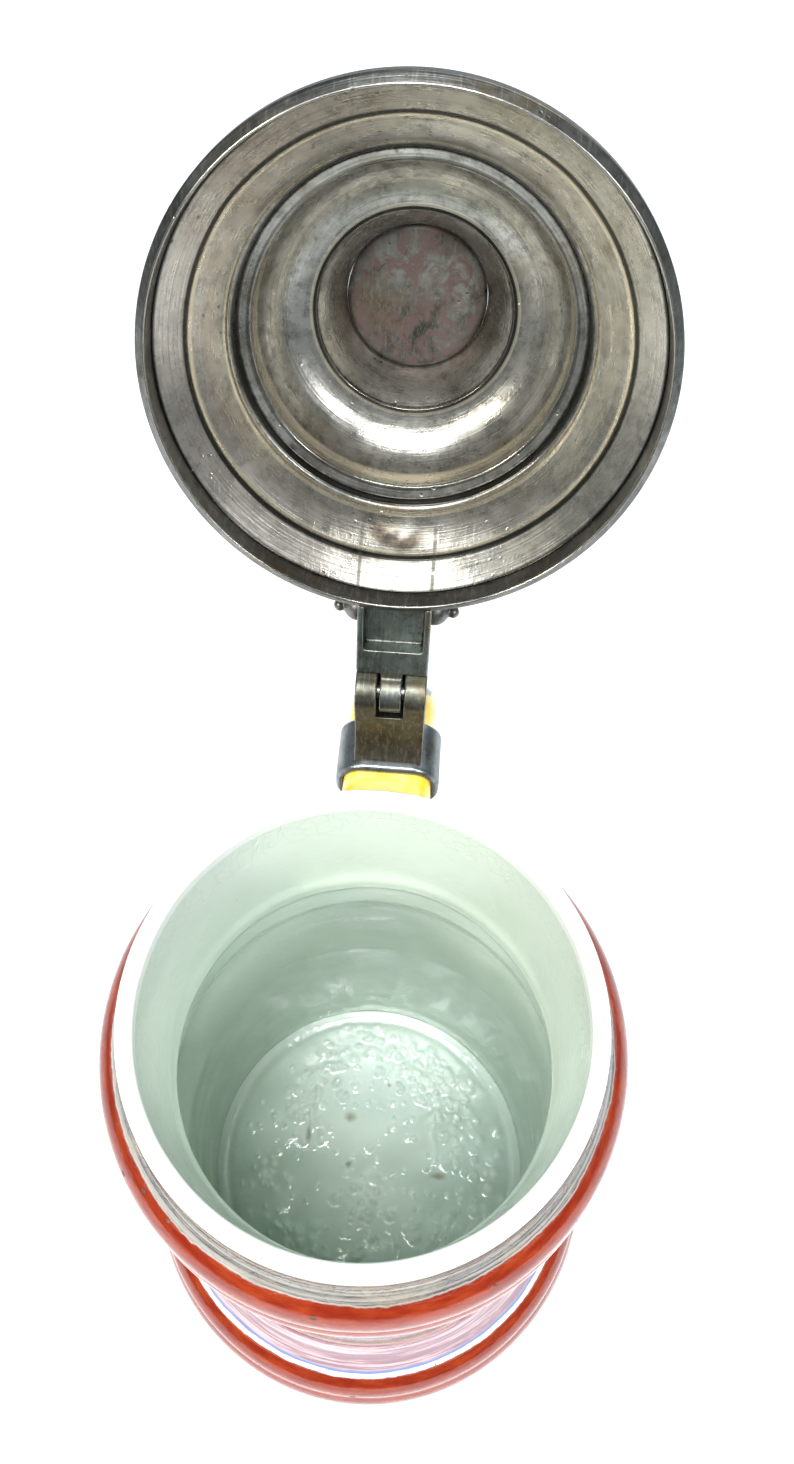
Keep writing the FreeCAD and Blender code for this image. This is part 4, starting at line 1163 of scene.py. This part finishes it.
@dataclass
class Mug:
    """The thrown body with its two bands, its lip and the flecks in its glaze."""

    around: int = 208
    ripple: float = 0.0009
    ripples: float = 62.0
    chips: float = 5200.0
    chip_sizes: tuple[float, float] = (0.00012, 0.00052)
    glaze: BodyGlaze = field(default_factory=BodyGlaze)

    def profile(self) -> Profile:
        """The mug's section, from the standing ring up the outside and down the inside.

        Returns:
            The profile.
        """
        low, high, wet = Side.LEFT, Side.RIGHT, Zone.INSIDE
        return Profile(
            [
                Corner(55.4, 0.0, step=0.3),
                Corner(56.0, 0.6, low, 10.2, step=0.7, soft=0.1),
                Corner(55.0, 12.0, low, 6.48, step=0.6, soft=0.1),
                Corner(51.8, 21.0, high, 55.0, step=1.3, soft=0.15),
                Corner(45.2, 55.0, step=2.4, soft=0.2),
                Corner(43.0, 118.9, step=0.4, soft=0.1),
                Corner(44.3, 120.1, low, 5.704, step=0.55, soft=0.1),
                Corner(45.9, 129.3, low, 6.256, step=0.55, soft=0.1),
                Corner(44.1, 138.5, high, 11.5, step=0.6, soft=0.1),
                Corner(41.6, 146.9, step=0.35, soft=0.1),
                Corner(41.6, 148.45, low, 1.55, step=0.22, soft=0.1),
                Corner(40.05, 150.0, low, 1.55, step=0.22, zone=wet, soft=0.1),
                Corner(38.5, 148.45, step=0.5, zone=wet, soft=0.1),
                Corner(38.5, 146.9, step=1.4, zone=wet, soft=0.4),
                Corner(36.45, 121.0, low, 10.0, step=0.8, zone=wet, soft=0.4),
                Corner(36.8, 113.0, step=1.1, zone=wet, soft=0.7),
                Corner(38.7, 100.5, high, 70.0, step=1.4, zone=wet, soft=1.0),
                Corner(41.2, 64.2, step=1.5, zone=wet, soft=1.0),
                Corner(41.2, 6.5, step=1.0, zone=wet),
                Corner(36.2, 6.5, step=0.8),
                Corner(36.2, 4.0, step=1.6),
                Corner(47.5, 4.0, step=0.8),
                Corner(49.9, 0.0, step=0.9),
            ],
            rounding=2,
        )

    def build(self, lathe: Lathe, scatter: Scatter) -> None:
        """Makes the body and its flecks.

        Args:
            lathe: turns the body.
            scatter: strews the flecks.
        """
        glazed = self.glaze.build()
        body = lathe.turn("stein_body", self.profile(), glazed, self.around, self.ripple, self.ripples)
        places = coordinates(body.data)
        low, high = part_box("mug_body")
        radius = np.hypot(places[:, 0], places[:, 1])
        ceiling = np.minimum(places[:, 2], high.z)
        limit = np.minimum(1.0, (high.x - 1e-6) / np.maximum(radius, 1e-9))
        places = np.column_stack([places[:, 0] * limit, places[:, 1] * limit, np.maximum(ceiling, low.z)])
        move_to(body.data, places)
        zone = np.zeros(len(places), np.float32)
        body.data.attributes["zone"].data.foreach_get("value", zone)
        height = places[:, 2] / MM
        on_bands = ((height > 118) & (height < 146.5)) | ((height > 3) & (height < 30))
        keep(body.data, "flecked", np.where((zone < 0.5) & on_bands, 1.0, 0.0))
        self.add_flecks(body, scatter)
        finished(body, "stein", ["mug_body"], glazed)

    def add_flecks(self, body: bpy.types.Object, scatter: Scatter) -> None:
        """Strews iron flecks and small chips over the bands.

        Args:
            body: the mug's body.
            scatter: the tree that strews them.
        """
        flecks = linked("glaze_flecks", body.data.copy())
        finish = Speck().build()
        least, most = self.chip_sizes
        settings = {"Density": self.chips, "Smallest": least, "Largest": most, "Seed": 11, "Finish": finish}
        run_tree(flecks, scatter.tree, settings)
        low, high = CAD_BOX
        places = coordinates(flecks.data)
        move_to(flecks.data, np.clip(places, np.array(low), np.array(high)))
        finished(flecks, "stein", [], finish)


@dataclass
class ReliefFloor:
    """The moulded floor: a meadow with trees, bushes, hills and clouds in low relief."""

    around: int = 420
    rings: int = 190
    deepest: float = 1.5
    seed: int = 7
    margin: float = 0.05
    border_leaves: int = 70
    pebbles: int = 170
    clumps: tuple[tuple[float, float, float, int], ...] = (
        (-20, 13, 6.5, 34),
        (-13, 24, 6.0, 26),
        (13, 24, 6.5, 32),
        (21, 12, 5.5, 26),
        (17, -15, 6.0, 26),
        (20, -24, 6.5, 28),
        (-26, -6, 4.0, 16),
        (-17, -22, 6.5, 18),
        (-1, 32, 7.0, 22),
        (-3, -12, 9.0, 14),
        (24, 2, 4.0, 14),
        (2, -31, 7.0, 12),
    )
    hills: tuple[tuple[float, float, float, float, float], ...] = (
        (-14, 9, 17, 7, 0.55),
        (15, 6, 15, 6, 0.45),
        (3, -17, 20, 9, 0.5),
        (-2, 22, 16, 6, 0.4),
    )
    trunks: tuple[tuple[float, float, float, float], ...] = (
        (-16, 14, 0.8, 7),
        (17, 10, 0.9, 8),
        (9, -20, 0.7, 5),
    )

    def mounds(self) -> list[tuple[float, float, float, float]]:
        """Leaf clumps and pebbles.

        Returns:
            East, north, radius and height of each in millimetres.
        """
        random = np.random.default_rng(self.seed)
        made = []
        for turn in np.linspace(-62, 78, self.border_leaves):
            reach = 31.5 + random.normal(0, 2.6)
            angle = math.radians(turn + random.normal(0, 2.0))
            place = (reach * math.cos(angle), reach * math.sin(angle))
            made.append((*place, random.uniform(0.8, 1.7), random.uniform(0.6, 1.3)))
        for _ in range(self.pebbles):
            reach, angle = 35 * math.sqrt(random.uniform()), random.uniform(0, 2 * math.pi)
            place = (reach * math.cos(angle), reach * math.sin(angle))
            made.append((*place, random.uniform(0.5, 1.0), random.uniform(0.25, 0.6)))
        for east, north, spread, count in self.clumps:
            for _ in range(count):
                x, y = random.normal((east, north), spread * 0.55)
                made.append((x, y, random.uniform(0.6, 1.5), random.uniform(0.5, 1.2)))
        return made

    def heights(self, x: np.ndarray, y: np.ndarray) -> np.ndarray:
        """Height of the relief above its deepest ground.

        Args:
            x: east in millimetres.
            y: north in millimetres.

        Returns:
            Millimetres at each place.
        """
        places = np.column_stack([x, y, np.zeros(len(x))]) * MM
        ground = 0.55 + 0.28 * smooth_field(places, 0.020, 3) + 0.10 * smooth_field(places, 0.006, 4)
        for east, north, wide, tall, lift in self.hills:
            ground += lift / (1 + np.exp((np.hypot((x - east) / wide, (y - north) / tall) - 1) * 4))
        for east, north, wide, tall in self.trunks:
            bowed = x - east - 0.8 * np.sin(y * 0.5)
            ground += 0.5 * np.exp(-((bowed / wide) ** 2) - ((y - north) / tall) ** 4)
        bumps = np.zeros(len(x))
        for east, north, radius, height in self.mounds():
            close = ((x - east) ** 2 + (y - north) ** 2) < (2.4 * radius) ** 2
            away = np.hypot(x[close] - east, y[close] - north) / radius
            bumps[close] = np.maximum(bumps[close], height * np.exp(-(away**2) * 1.3))
        reach = np.hypot(x, y)
        rim = 0.8 / (1 + np.exp(-(reach - 38.6) * 2.2))
        inside = 1 / (1 + np.exp((reach - 37.6) * 2.0))
        return ground * inside + bumps * inside + rim

    def build(self) -> None:
        """Makes the relief as one closed panel."""
        low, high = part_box("lithophane_panel")
        edge = (high.x - low.x) / 2 / MM - self.margin
        radii = np.linspace(edge / self.rings, edge, self.rings)
        angles = np.linspace(0, 2 * math.pi, self.around, endpoint=False)
        grid_r, grid_a = np.meshgrid(radii, angles, indexing="ij")
        x, y = (grid_r * np.cos(grid_a)).ravel(), (grid_r * np.sin(grid_a)).ravel()
        x, y = np.append(x, 0.0), np.append(y, 0.0)
        relief = self.heights(x, y)
        level = high.z / MM - self.deepest + relief
        under = low.z / MM
        base = np.column_stack([edge * np.cos(angles), edge * np.sin(angles), np.full(self.around, under)])
        points = np.vstack([np.column_stack([x, y, level]), base, [[0.0, 0.0, under]]]) * MM
        mesh = bpy.data.meshes.new("relief_floor")
        mesh.from_pydata(points.tolist(), [], self.faces())
        made = linked("relief_floor", mesh)
        keep(mesh, "depth", np.concatenate([relief, np.zeros(self.around + 1)]) / 1.6)
        finished(made, "stein", ["lithophane_panel"], ReliefGlaze().build())

    def faces(self) -> list[tuple[int, ...]]:
        """Faces of the relief, its edge and its back.

        Returns:
            The point numbers of each face.
        """
        made = []
        centre = self.rings * self.around
        for step in range(self.around):
            after = (step + 1) % self.around
            made.append((centre, step, after))
            for ring in range(self.rings - 1):
                here, there = ring * self.around, (ring + 1) * self.around
                made.append((here + step, there + step, there + after, here + after))
            outer, below = (self.rings - 1) * self.around, centre + 1
            made.append((outer + step, below + step, below + after, outer + after))
            made.append((below + self.around, below + after, below + step))
        return made


@dataclass
class Casting:
    """A cast or moulded piece: the CAD shape with its edges softened by use."""

    name: str
    nodes: list[str]
    body: str
    slot: str
    voxel: float = 0.00025
    passes: int = 6
    uneven: float = 0.00006

    def shape(self) -> bpy.types.Object:
        """Copies the CAD nodes, softens them and stores their wear.

        Returns:
            The piece.
        """
        made = merged_copy(self.nodes, self.name)
        remesh = made.modifiers.new("soften", "REMESH")
        remesh.mode = "VOXEL"
        remesh.voxel_size = self.voxel
        smooth = made.modifiers.new("ease", "SMOOTH")
        smooth.factor = 0.5
        smooth.iterations = self.passes
        flatten(made)
        mesh = made.data
        places = coordinates(mesh)
        dip = (smooth_field(places, 0.0035, len(self.name)) - 1.0) * 0.5 * self.uneven
        move_to(mesh, places + directions(mesh) * dip[:, None])
        store_wear(mesh)
        return made

    def build(self, material: bpy.types.Material) -> None:
        """Makes the piece in this material."""
        finished(self.shape(), self.body, self.nodes, material)


@dataclass
class Handle(Casting):
    """The glazed handle, its ends luted on to the body."""

    name: str = "glazed_handle"
    nodes: list[str] = field(default_factory=lambda: ["handle"])
    body: str = "stein"
    slot: str = "handle_glaze"
    voxel: float = 0.0006
    passes: int = 8
    uneven: float = 0.00022
    flare: float = 0.0022
    reach: float = 0.0085
    sink: float = 0.0009
    sink_reach: float = 0.0012
    upper_from: float = 0.085
    lower_to: float = 0.056
    back_start: float = 66.0
    back_fade: float = 14.0
    foot_wall: tuple[tuple[float, float], ...] = (
        (0.0, 57.3),
        (12.0, 55.0),
        (21.0, 51.8),
        (30.0, 48.9),
        (40.0, 46.7),
        (55.0, 45.2),
    )
    band_wall: tuple[tuple[float, float], ...] = (
        (118.9, 43.0),
        (124.0, 45.3),
        (129.3, 45.9),
        (134.0, 45.7),
        (138.5, 44.1),
        (150.0, 41.6),
    )

    def wall(self, height: np.ndarray) -> np.ndarray:
        """Outer radius of the mug at each height, both in metres."""
        levels, radii = (np.array(self.foot_wall + self.band_wall) * MM).T
        return np.interp(height, levels, radii)

    def shape(self) -> bpy.types.Object:
        """Softens the handle, spreads its ends on the wall and marks its back.

        Returns:
            The piece.
        """
        made = super().shape()
        mesh = made.data
        places, normals = coordinates(mesh), directions(mesh)
        gap = np.hypot(places[:, 0], places[:, 1]) - self.wall(places[:, 2])
        share = np.clip(1 - gap / self.reach, 0, 1) ** 2.2
        upper = places[:, 2] > self.upper_from
        ending = upper | (places[:, 2] < self.lower_to)
        spread = normals.copy()
        spread[:, 1] *= 0.15
        places += spread * (share * ending * self.flare)[:, None]
        inward = np.clip(1 - gap / self.sink_reach, 0, 1) * ending
        places[:, 1] -= inward * self.sink
        centre = np.where(places[:, 2] > 0.1, 0.5, 0.2)
        outward = normals[:, 1] * 0.8 + np.where(upper, normals[:, 2] * 0.35, -normals[:, 2] * 0.2)
        far = np.clip((places[:, 1] / MM - self.back_start) / self.back_fade, 0, 1)
        low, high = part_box("handle")
        places = np.clip(places, np.array(low) + [0, -0.002, 0], np.array(high))
        move_to(mesh, places)
        keep(mesh, "back", np.clip((outward - centre) * 2.0 + 0.5, 0, 1) * np.maximum(far, ~upper * 0.8))
        return made


@dataclass
class Hinge:
    """The cast pewter fittings, the steel pin and its plugs."""

    band: Pewter = Pewter("band_pewter", (0.24, 0.265, 0.275), (0.16, 0.18, 0.19), tarnish=0.2, rough=0.34)
    # The post's pewter is a darker, olive-tinted copy: painted shade for the shadow under the hinge knuckles
    # and a painted reflection of the yellow handle.
    upright: Pewter = Pewter(
        "post_pewter",
        (0.15, 0.15, 0.125),
        (0.075, 0.073, 0.055),
        warm=(0.14, 0.10, 0.02),
        tarnish=0.7,
        rough=0.44,
    )
    cast: Pewter = Pewter("cast_pewter", tarnish=0.6, rough=0.42)
    filed: Pewter = Pewter("filed_pewter", (0.17, 0.19, 0.175), (0.09, 0.10, 0.09), tarnish=0.45, hatch=0.7)
    steel: Steel = Steel()

    def build(self) -> None:
        """Makes the fittings on the handle, then those that swing with the lid."""
        pewter = "dark_pewter"
        plugs = ["pin_plug_left", "pin_plug_right"]
        Casting("collar", ["handle_collar"], "stein", pewter, 0.0003).build(self.band.build())
        Casting("post", ["hinge_post"], "stein", pewter, 0.00022).build(self.upright.build())
        Casting("pin_ends", plugs, "stein", pewter, 0.00012, 3, 0.00002).build(self.cast.build())
        Casting("pin", ["hinge_pin"], "stein", "pin_steel", 0.00012, 2, 0.0).build(self.steel.build())
        Casting("shank", ["lid_shank"], "lid", pewter, 0.00026).build(self.filed.build())
        Casting("thumb_lever", ["thumblift"], "lid", pewter, 0.00024).build(self.cast.build())


@dataclass
class Lid:
    """The domed lid: ring, dome, disc and finial, all turned on the lathe."""

    around: int = 256
    ripples: float = 70.0
    ring_low: float = 145.7
    seat: float = 150.4
    disc_top: float = 190.2
    wall: float = 1.7
    brim_rise: float = 5.4
    bead_rise: float = 12.4
    shoulder_rise: float = 16.2
    neck_rise: float = 28.2
    crown_rise: float = 38.2
    disc_rise: float = 37.8
    knob_tall: float = 22.0
    knob_wide: float = 6.6
    knocks: tuple[tuple[float, float, float, float], ...] = (
        (-30, -24, 4.0, 0.16),
        (22, -30, 5.0, 0.14),
        (-12, 19, 6.0, 0.22),
        (26, 22, 5.0, 0.15),
        (-8, -22, 7.0, 0.2),
        (12, -18, 5.0, 0.16),
    )

    def opened(self) -> Matrix:
        """Turns what is drawn on the closed lid to where the open lid rests.

        Returns:
            The turn about the hinge pin.
        """
        joint = next(j for j in frame["joints"] if j["name"] == "lid_hinge")
        pin = Vector(joint["pos_m"])
        angle = -math.radians(max(joint["range_deg"], key=abs))
        turn = Matrix.Rotation(angle, 4, Vector(joint["axis"]))
        return Matrix.Translation(pin) @ turn @ Matrix.Translation(-pin)

    def ring_profile(self) -> Profile:
        """Section of the ring that hangs over the lip.

        Returns:
            The profile.
        """
        low, high = self.ring_low, self.seat + 1.3 * self.wall
        return Profile(
            [
                Corner(42.7, low, step=0.25),
                Corner(44.2, low + 1.3, step=0.45),
                Corner(44.2, self.seat - 1.2, Side.LEFT, 2.4, step=0.3),
                Corner(43.3, self.seat + 1.1, step=0.3),
                Corner(42.3, high, step=0.5),
                Corner(42.3, low, step=0.2),
            ],
            rounding=1,
        )

    def dome_profile(self) -> Profile:
        """Section of the dome: up its outside and down its stepped inside.

        Returns:
            The profile.
        """
        seat, wall = self.seat, self.wall
        brim, bead, shoulder = self.brim_rise, self.bead_rise, self.shoulder_rise
        neck, crown = self.neck_rise, self.crown_rise
        left, right = Side.LEFT, Side.RIGHT
        return Profile(
            [
                Corner(42.3, seat + 1.3 * wall, step=0.5),
                Corner(38.6, seat + brim + 0.4 * wall, left, 1.8, step=0.35),
                Corner(36.8, seat + brim + 1.9 * wall, right, 18.0, step=0.6),
                Corner(33.4, seat + bead + 0.7 * wall, left, 2.0, step=0.4),
                Corner(32.6, seat + shoulder + 0.7 * wall, step=0.4),
                Corner(29.8, seat + shoulder + 1.3 * wall, left, 12.0, step=0.7),
                Corner(20.3, seat + neck + 0.7 * wall, left, 1.4, step=0.3),
                Corner(19.4, seat + neck + 2.1 * wall, right, 22.0, step=0.6),
                Corner(15.4, seat + crown, step=0.4),
                Corner(15.4, self.disc_top, step=0.4),
                Corner(13.4, self.disc_top, step=0.4),
                Corner(13.4, seat + self.disc_rise, left, 24.0, step=0.45, soft=0.2),
                Corner(18.1, seat + 28.9, step=0.2),
                Corner(18.1, seat + 28.1, step=0.2),
                Corner(18.8, seat + neck, right, 11.0, step=0.45, soft=0.6),
                Corner(28.4, seat + shoulder, step=0.3),
                Corner(30.8, seat + 15.6, step=0.3),
                Corner(31.1, seat + 13.9, right, 1.1, step=0.16),
                Corner(32.0, seat + bead, left, 30.0, step=0.4, soft=0.5),
                Corner(37.0, seat + 5.9, step=0.16),
                Corner(37.6, seat + 4.9, step=0.3, soft=0.6),
                Corner(42.3, seat, step=0.3, soft=0.2),
            ],
            rounding=1,
        )

    def disc_profile(self) -> Profile:
        """Section of the disc in the dome's top.

        Returns:
            The profile.
        """
        low, high = self.seat + self.disc_rise, self.disc_top
        return Profile(
            [
                Corner(0.0, low, step=0.6, soft=1.0),
                Corner(12.7, low, step=0.2, soft=0.4),
                Corner(13.35, low + 0.5, step=0.4),
                Corner(13.35, high, step=0.6),
                Corner(0.0, high),
            ],
            closed=False,
            rounding=1,
        )

    def finial_profile(self) -> Profile:
        """Section of the turned knob.

        Returns:
            The profile.
        """
        low, tall, wide = self.disc_top, self.knob_tall, self.knob_wide
        tip, rise = 0.36 * wide, 0.08 * tall
        return Profile(
            [
                Corner(0.0, low, step=0.7),
                Corner(1.35 * wide, low, step=0.3),
                Corner(1.35 * wide, low + 0.06 * tall, Side.RIGHT, 0.3 * tall, step=0.3),
                Corner(0.5 * wide, low + 0.26 * tall, step=0.25),
                Corner(0.72 * wide, low + 0.31 * tall, step=0.25),
                Corner(0.5 * wide, low + 0.37 * tall, Side.LEFT, 1.001 * wide, step=0.3),
                Corner(tip, low + 0.87 * tall, step=0.25),
                Corner(tip, low + 0.92 * tall, Side.LEFT, (tip**2 + rise**2) / (2 * rise), step=0.25),
                Corner(0.0, low + tall),
            ],
            closed=False,
            rounding=1,
        )

    def dent(self, mesh: bpy.types.Mesh) -> None:
        """Presses the hollow left by the old straps, and a few knocks, into the thin metal.

        Args:
            mesh: the dome, still closed.
        """
        places, normals = coordinates(mesh), directions(mesh)
        x, y = places[:, 0] / MM, places[:, 1] / MM
        under = normals[:, 2] < -0.2
        push = 0.35 * np.exp(-((x / 7.5) ** 2) - ((y - 35.6) / 1.7) ** 2)
        for east, north, size, depth in self.knocks:
            push += depth * np.exp(-(((x - east) ** 2 + (y - north) ** 2) / size**2))
        places -= normals * (push * under * MM)[:, None]
        move_to(mesh, places)

    def build(self, lathe: Lathe) -> None:
        """Makes the four turned pieces and swings them open.

        Args:
            lathe: turns them.
        """
        ring = Pewter(
            "ring_pewter", (0.16, 0.16, 0.15), (0.085, 0.085, 0.08), tarnish=0.35, rough=0.36, turning=True
        )
        dome = DomePewter(
            "dome_pewter", (0.45, 0.44, 0.40), (0.29, 0.285, 0.26), tarnish=0.25, rough=0.27, turning=True
        )
        disc = DiscPewter("disc_pewter", tarnish=0.8, rough=0.42)
        knob = Pewter("knob_pewter", tarnish=0.3, rough=0.32, turning=True)
        parts = (
            ("lid_rim", self.ring_profile(), ring, "lid_ring", "dark_pewter", 0.0),
            ("lid_shell", self.dome_profile(), dome, "lid_dome", "lid_pewter", 0.00045),
            ("crown_disc", self.disc_profile(), disc, "top_disc", "disc_pewter", 0.0005),
            ("crown_knob", self.finial_profile(), knob, "finial", "lid_pewter", 0.0),
        )
        swing = self.opened()
        for name, profile, finish, node, slot, ripple in parts:
            metal = finish.build()
            made = lathe.turn(name, profile, metal, self.around, ripple, self.ripples)
            if node == "lid_dome":
                self.dent(made.data)
            made.data.transform(swing)
            store_wear(made.data, 2, 2.2)
            finished(made, "lid", [node], metal)


# ------------------------------------------------------------------------------------------ studio


@dataclass(frozen=True)
class SoftBox:
    """A soft rectangular light aimed at a point on the stein."""

    name: str
    place: tuple[float, float, float]
    aim: tuple[float, float, float]
    size: tuple[float, float]
    power: float
    colour: Colour = (1.0, 1.0, 1.0)

    def build(self) -> None:
        """Hangs the light."""
        lamp = bpy.data.lights.new(self.name, "AREA")
        lamp.shape = "RECTANGLE"
        lamp.size, lamp.size_y = self.size
        lamp.energy = self.power
        lamp.color = self.colour
        made = bpy.data.objects.new(self.name, lamp)
        bpy.context.scene.collection.objects.link(made)
        made.location = self.place
        made.rotation_euler = (Vector(self.aim) - Vector(self.place)).to_track_quat("-Z", "Y").to_euler()


@dataclass
class Studio:
    """Floor, lights and camera."""

    floor_half: float = 3.5
    eye: tuple[float, float, float] = (0.007294, -0.056366, 0.341501)
    yaw: float = 0.089
    pitch: float = 1.038
    roll: float = -0.007
    lens: float = 28.51
    shift: tuple[float, float] = (0.0158, -0.0087)
    sky: Colour = (0.78, 0.88, 0.95)
    sky_strength: float = 0.24

    def boxes(self) -> list[SoftBox]:
        """The soft boxes round the stein.

        Returns:
            The lights, not yet hung.
        """
        centre = (0.0, 0.02, 0.1)
        return [
            SoftBox("overhead", (-0.08, -0.34, 1.35), centre, (0.62, 0.50), 24.0, (0.97, 0.99, 1.0)),
            SoftBox("window_left", (-0.62, -0.62, 0.92), centre, (0.13, 0.20), 9.0, (1.0, 0.95, 0.84)),
            SoftBox("window_right", (0.60, -0.55, 0.88), centre, (0.12, 0.18), 7.0, (0.95, 0.97, 1.0)),
            SoftBox("back_fill", (0.45, 1.15, 1.0), centre, (1.2, 0.8), 7.0, (0.96, 0.98, 1.0)),
        ]

    def build(self) -> None:
        """Lays the floor, hangs the lights and sets the camera."""
        half = self.floor_half
        mesh = bpy.data.meshes.new("floor")
        corners = [(-half, -half, 0), (half, -half, 0), (half, half, 0), (-half, half, 0)]
        mesh.from_pydata(corners, [], [(0, 1, 2, 3)])
        floor = linked("floor", mesh)
        floor.data.transform(Matrix.Translation((0, 0, CAD_BOX[0].z - 0.0001)))
        floor.data.materials.append(FloorPaper().build())
        for box in self.boxes():
            box.build()
        world = bpy.data.worlds.new("studio")
        world.use_nodes = True
        sky = world.node_tree.nodes["Background"]
        sky.inputs["Color"].default_value = (*self.sky, 1.0)
        sky.inputs["Strength"].default_value = self.sky_strength
        bpy.context.scene.world = world
        bpy.context.scene.view_settings.view_transform = "Standard"
        self.place_camera()

    def place_camera(self) -> None:
        """Puts the camera above and in front, looking down into the mug."""
        view = bpy.data.cameras.new("camera")
        view.lens = self.lens
        view.sensor_width = 36.0
        view.shift_x, view.shift_y = self.shift
        view.clip_start = 0.01
        view.clip_end = 20.0
        camera = bpy.data.objects.new("camera", view)
        bpy.context.scene.collection.objects.link(camera)
        turn = Matrix.Rotation(self.yaw, 4, "Z") @ Matrix.Rotation(math.pi / 2 - self.pitch, 4, "X")
        turn = turn @ Matrix.Rotation(self.roll, 4, "Z")
        camera.matrix_world = Matrix.Translation(self.eye) @ turn
        bpy.context.scene.camera = camera


def main() -> None:
    """Builds the stein's looks, piece by piece, and the studio round them."""
    logging.basicConfig(level=logging.INFO, format="%(name)s %(message)s")
    lathe, scatter = Lathe(), Scatter()
    Studio().build()
    Mug().build(lathe, scatter)
    ReliefFloor().build()
    Handle().build(HandleGlaze().build())
    Hinge().build()
    Lid().build(lathe)


if __name__ == "__main__":
    main()
